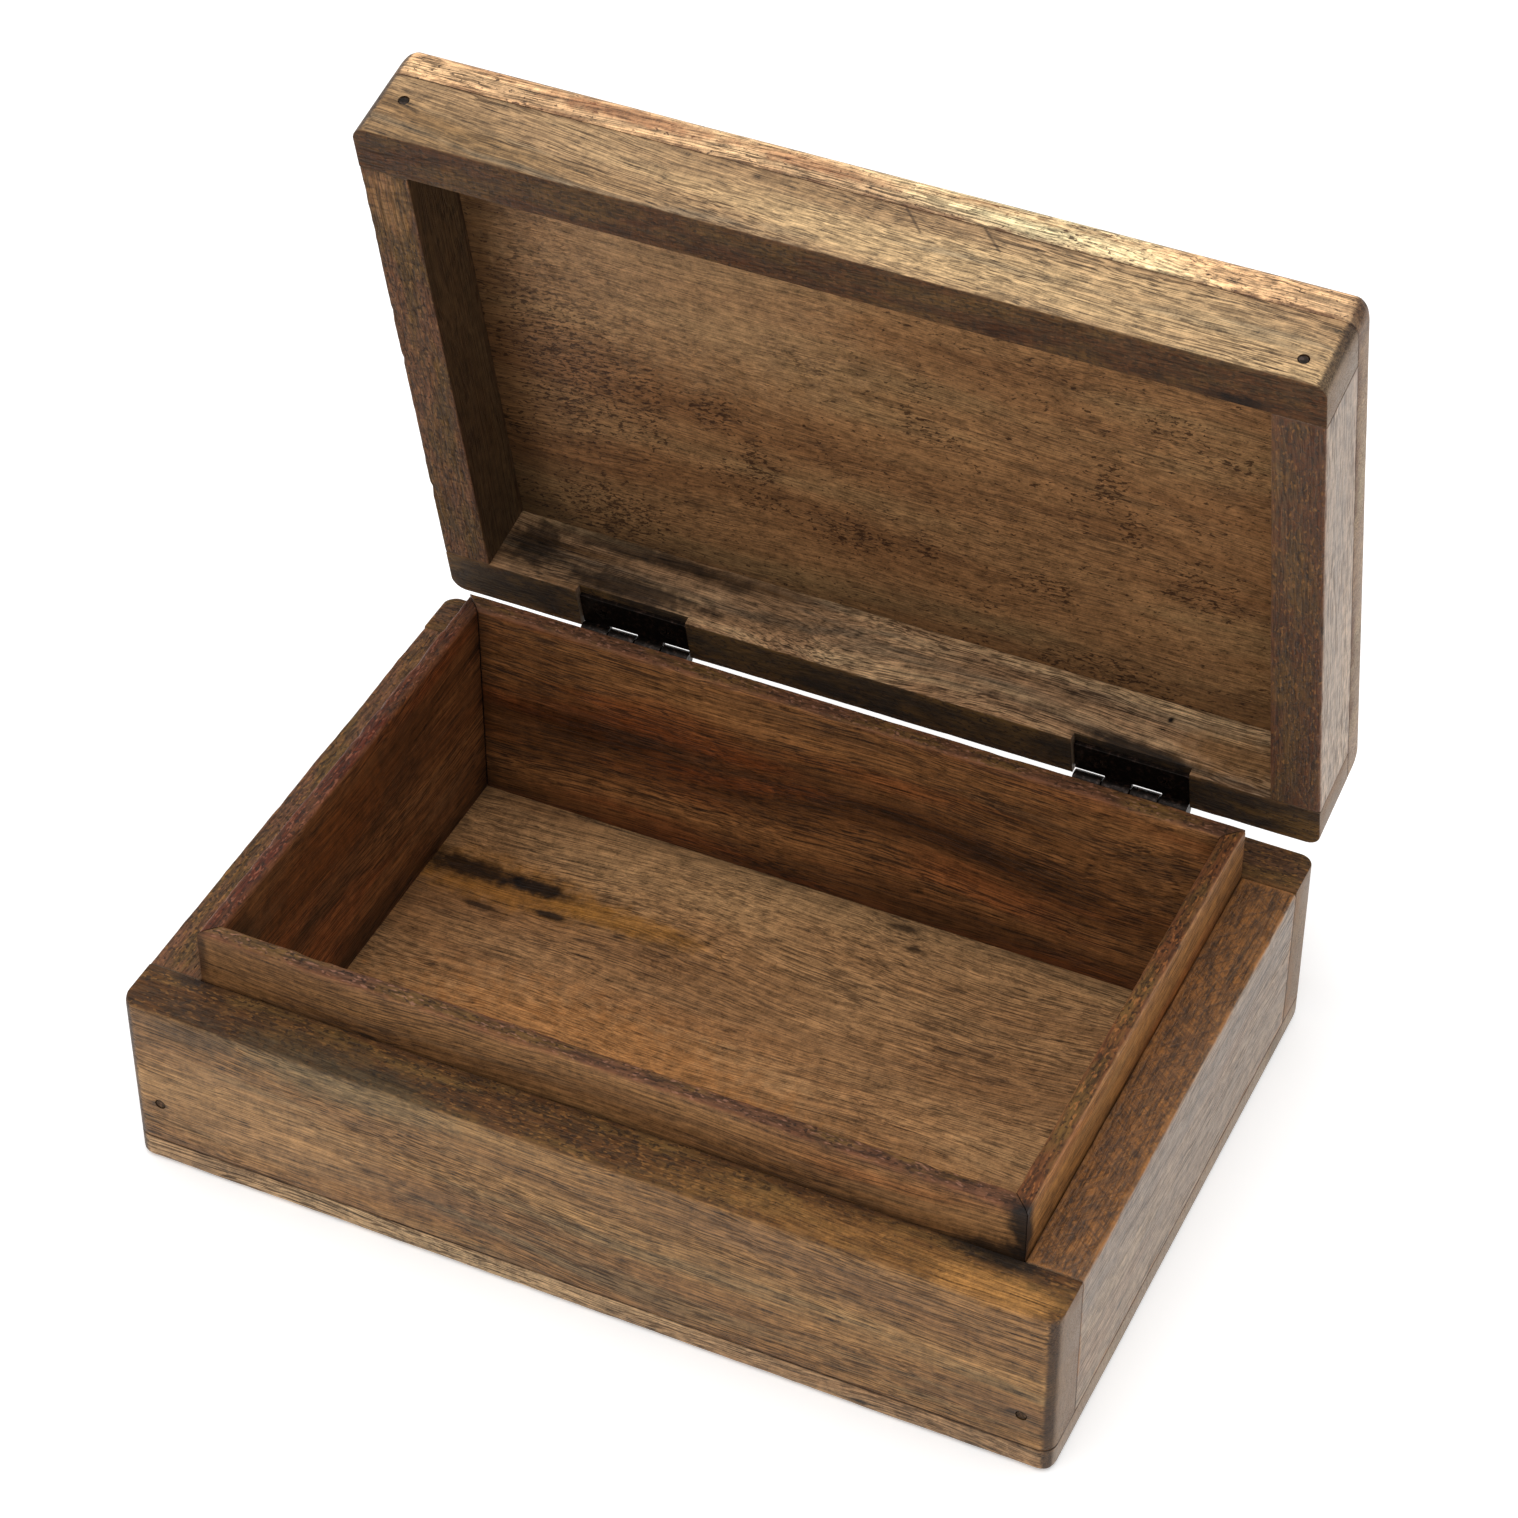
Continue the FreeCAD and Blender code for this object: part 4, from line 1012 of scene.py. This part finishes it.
# nails: dished heads, a little ragged, sunk in their holes
baseNail = {"dark": "2a1f16", "light": "523d2a", "rust": "6b4a2c", "rustAmount": 0.8, "roughness": 0.7}
lidNail = {"dark": "15100c", "light": "2c2119", "rust": "3a2416", "rustAmount": 0.6, "roughness": 0.6}
nailRagged = 0.12
nailSets = (("base_corner_nails", basePlace, "base", baseNail), ("lid_corner_nails", lidPlace, "lid", lidNail))
for node, place, body, look in nailSets:
    nailFinish = darkMetal(node + "_iron", look)
    mesh = bmesh.new()
    for i, (_, spot, radius, length) in enumerate(nailSpots(node, place)):
        profile = [
            (0, -0.12 * mm), (radius * 0.35, -0.1 * mm), (radius * 0.7, -0.03 * mm), (radius * 0.9, -0.02 * mm),
            (radius, -0.15 * mm), (radius, -length * 0.9), (radius * 0.3, -length), (0, -length)]
        turned(mesh, profile, spot, ragged=nailRagged, seed=i * 3.1)
    addPiece(node + "_look", mesh, place, nailFinish, body, [node])
print("nails done")

# hinges keep their CAD shape, with softened edges
hingeLook = {"dark": "0e0b09", "light": "241a14", "rust": "3b2112", "rustAmount": 0.55, "roughness": 0.42}
hingeFinish = darkMetal("hingeBlack", hingeLook)
leafEdge = 0.12 * mm
for side in ("left", "right"):
    for part in ("base_leaf", "lid_leaf", "pin"):
        piece = nodes[f"{side}_hinge_{part}"]
        piece.data.materials.clear()
        piece.data.materials.append(hingeFinish)
        weld = piece.modifiers.new("weld", "WELD")
        weld.merge_threshold = weldRoom
        soften = piece.modifiers.new("soften", "BEVEL")
        soften.width = leafEdge
        soften.segments = 2
        soften.limit_method = "ANGLE"
        soften.angle_limit = sharpAngle

# screws with a cross recess
screwLook = {"dark": "1c1612", "light": "3a2c22", "rust": "452a18", "rustAmount": 0.5, "roughness": 0.4}
screwFinish = darkMetal("screwBlack", screwLook)
crossRecess = {"reach": 1.05 * mm, "half": 0.25 * mm, "depth": 0.6 * mm}
shankShare = 0.55  # of the head's radius
screwSets = (("base_leaf_screws", basePlace, "base", True), ("lid_leaf_screws", lidPlace, "lid", False))
for node, place, body, upward in screwSets:
    mesh = bmesh.new()
    recess = bmesh.new()
    for i, (low, high) in enumerate(islands(node, place)):
        head = (high.x - low.x) / 2
        shank = head * shankShare
        length = high.z - low.z
        spot = Vector(((low.x + high.x) / 2, (low.y + high.y) / 2, high.z if upward else low.z))
        turn = Matrix.Translation(spot) @ Matrix.Rotation(0 if upward else math.pi, 4, "X")
        turn = turn @ Matrix.Rotation(0.5 + i * 1.1, 4, "Z")
        profile = [
            (0, 0), (head * 0.6, -0.01 * mm), (head * 0.93, -0.04 * mm), (head, -0.12 * mm), (shank, -(head - shank)),
            (shank * 0.95, -length * 0.6), (shank * 0.3, -length), (0, -length)]
        turned(mesh, profile, turn)
        crossPrism(recess, turn, **crossRecess)
    addPiece(node + "_look", mesh, place, screwFinish, body, [node], recess)
print("hinges and screws done")
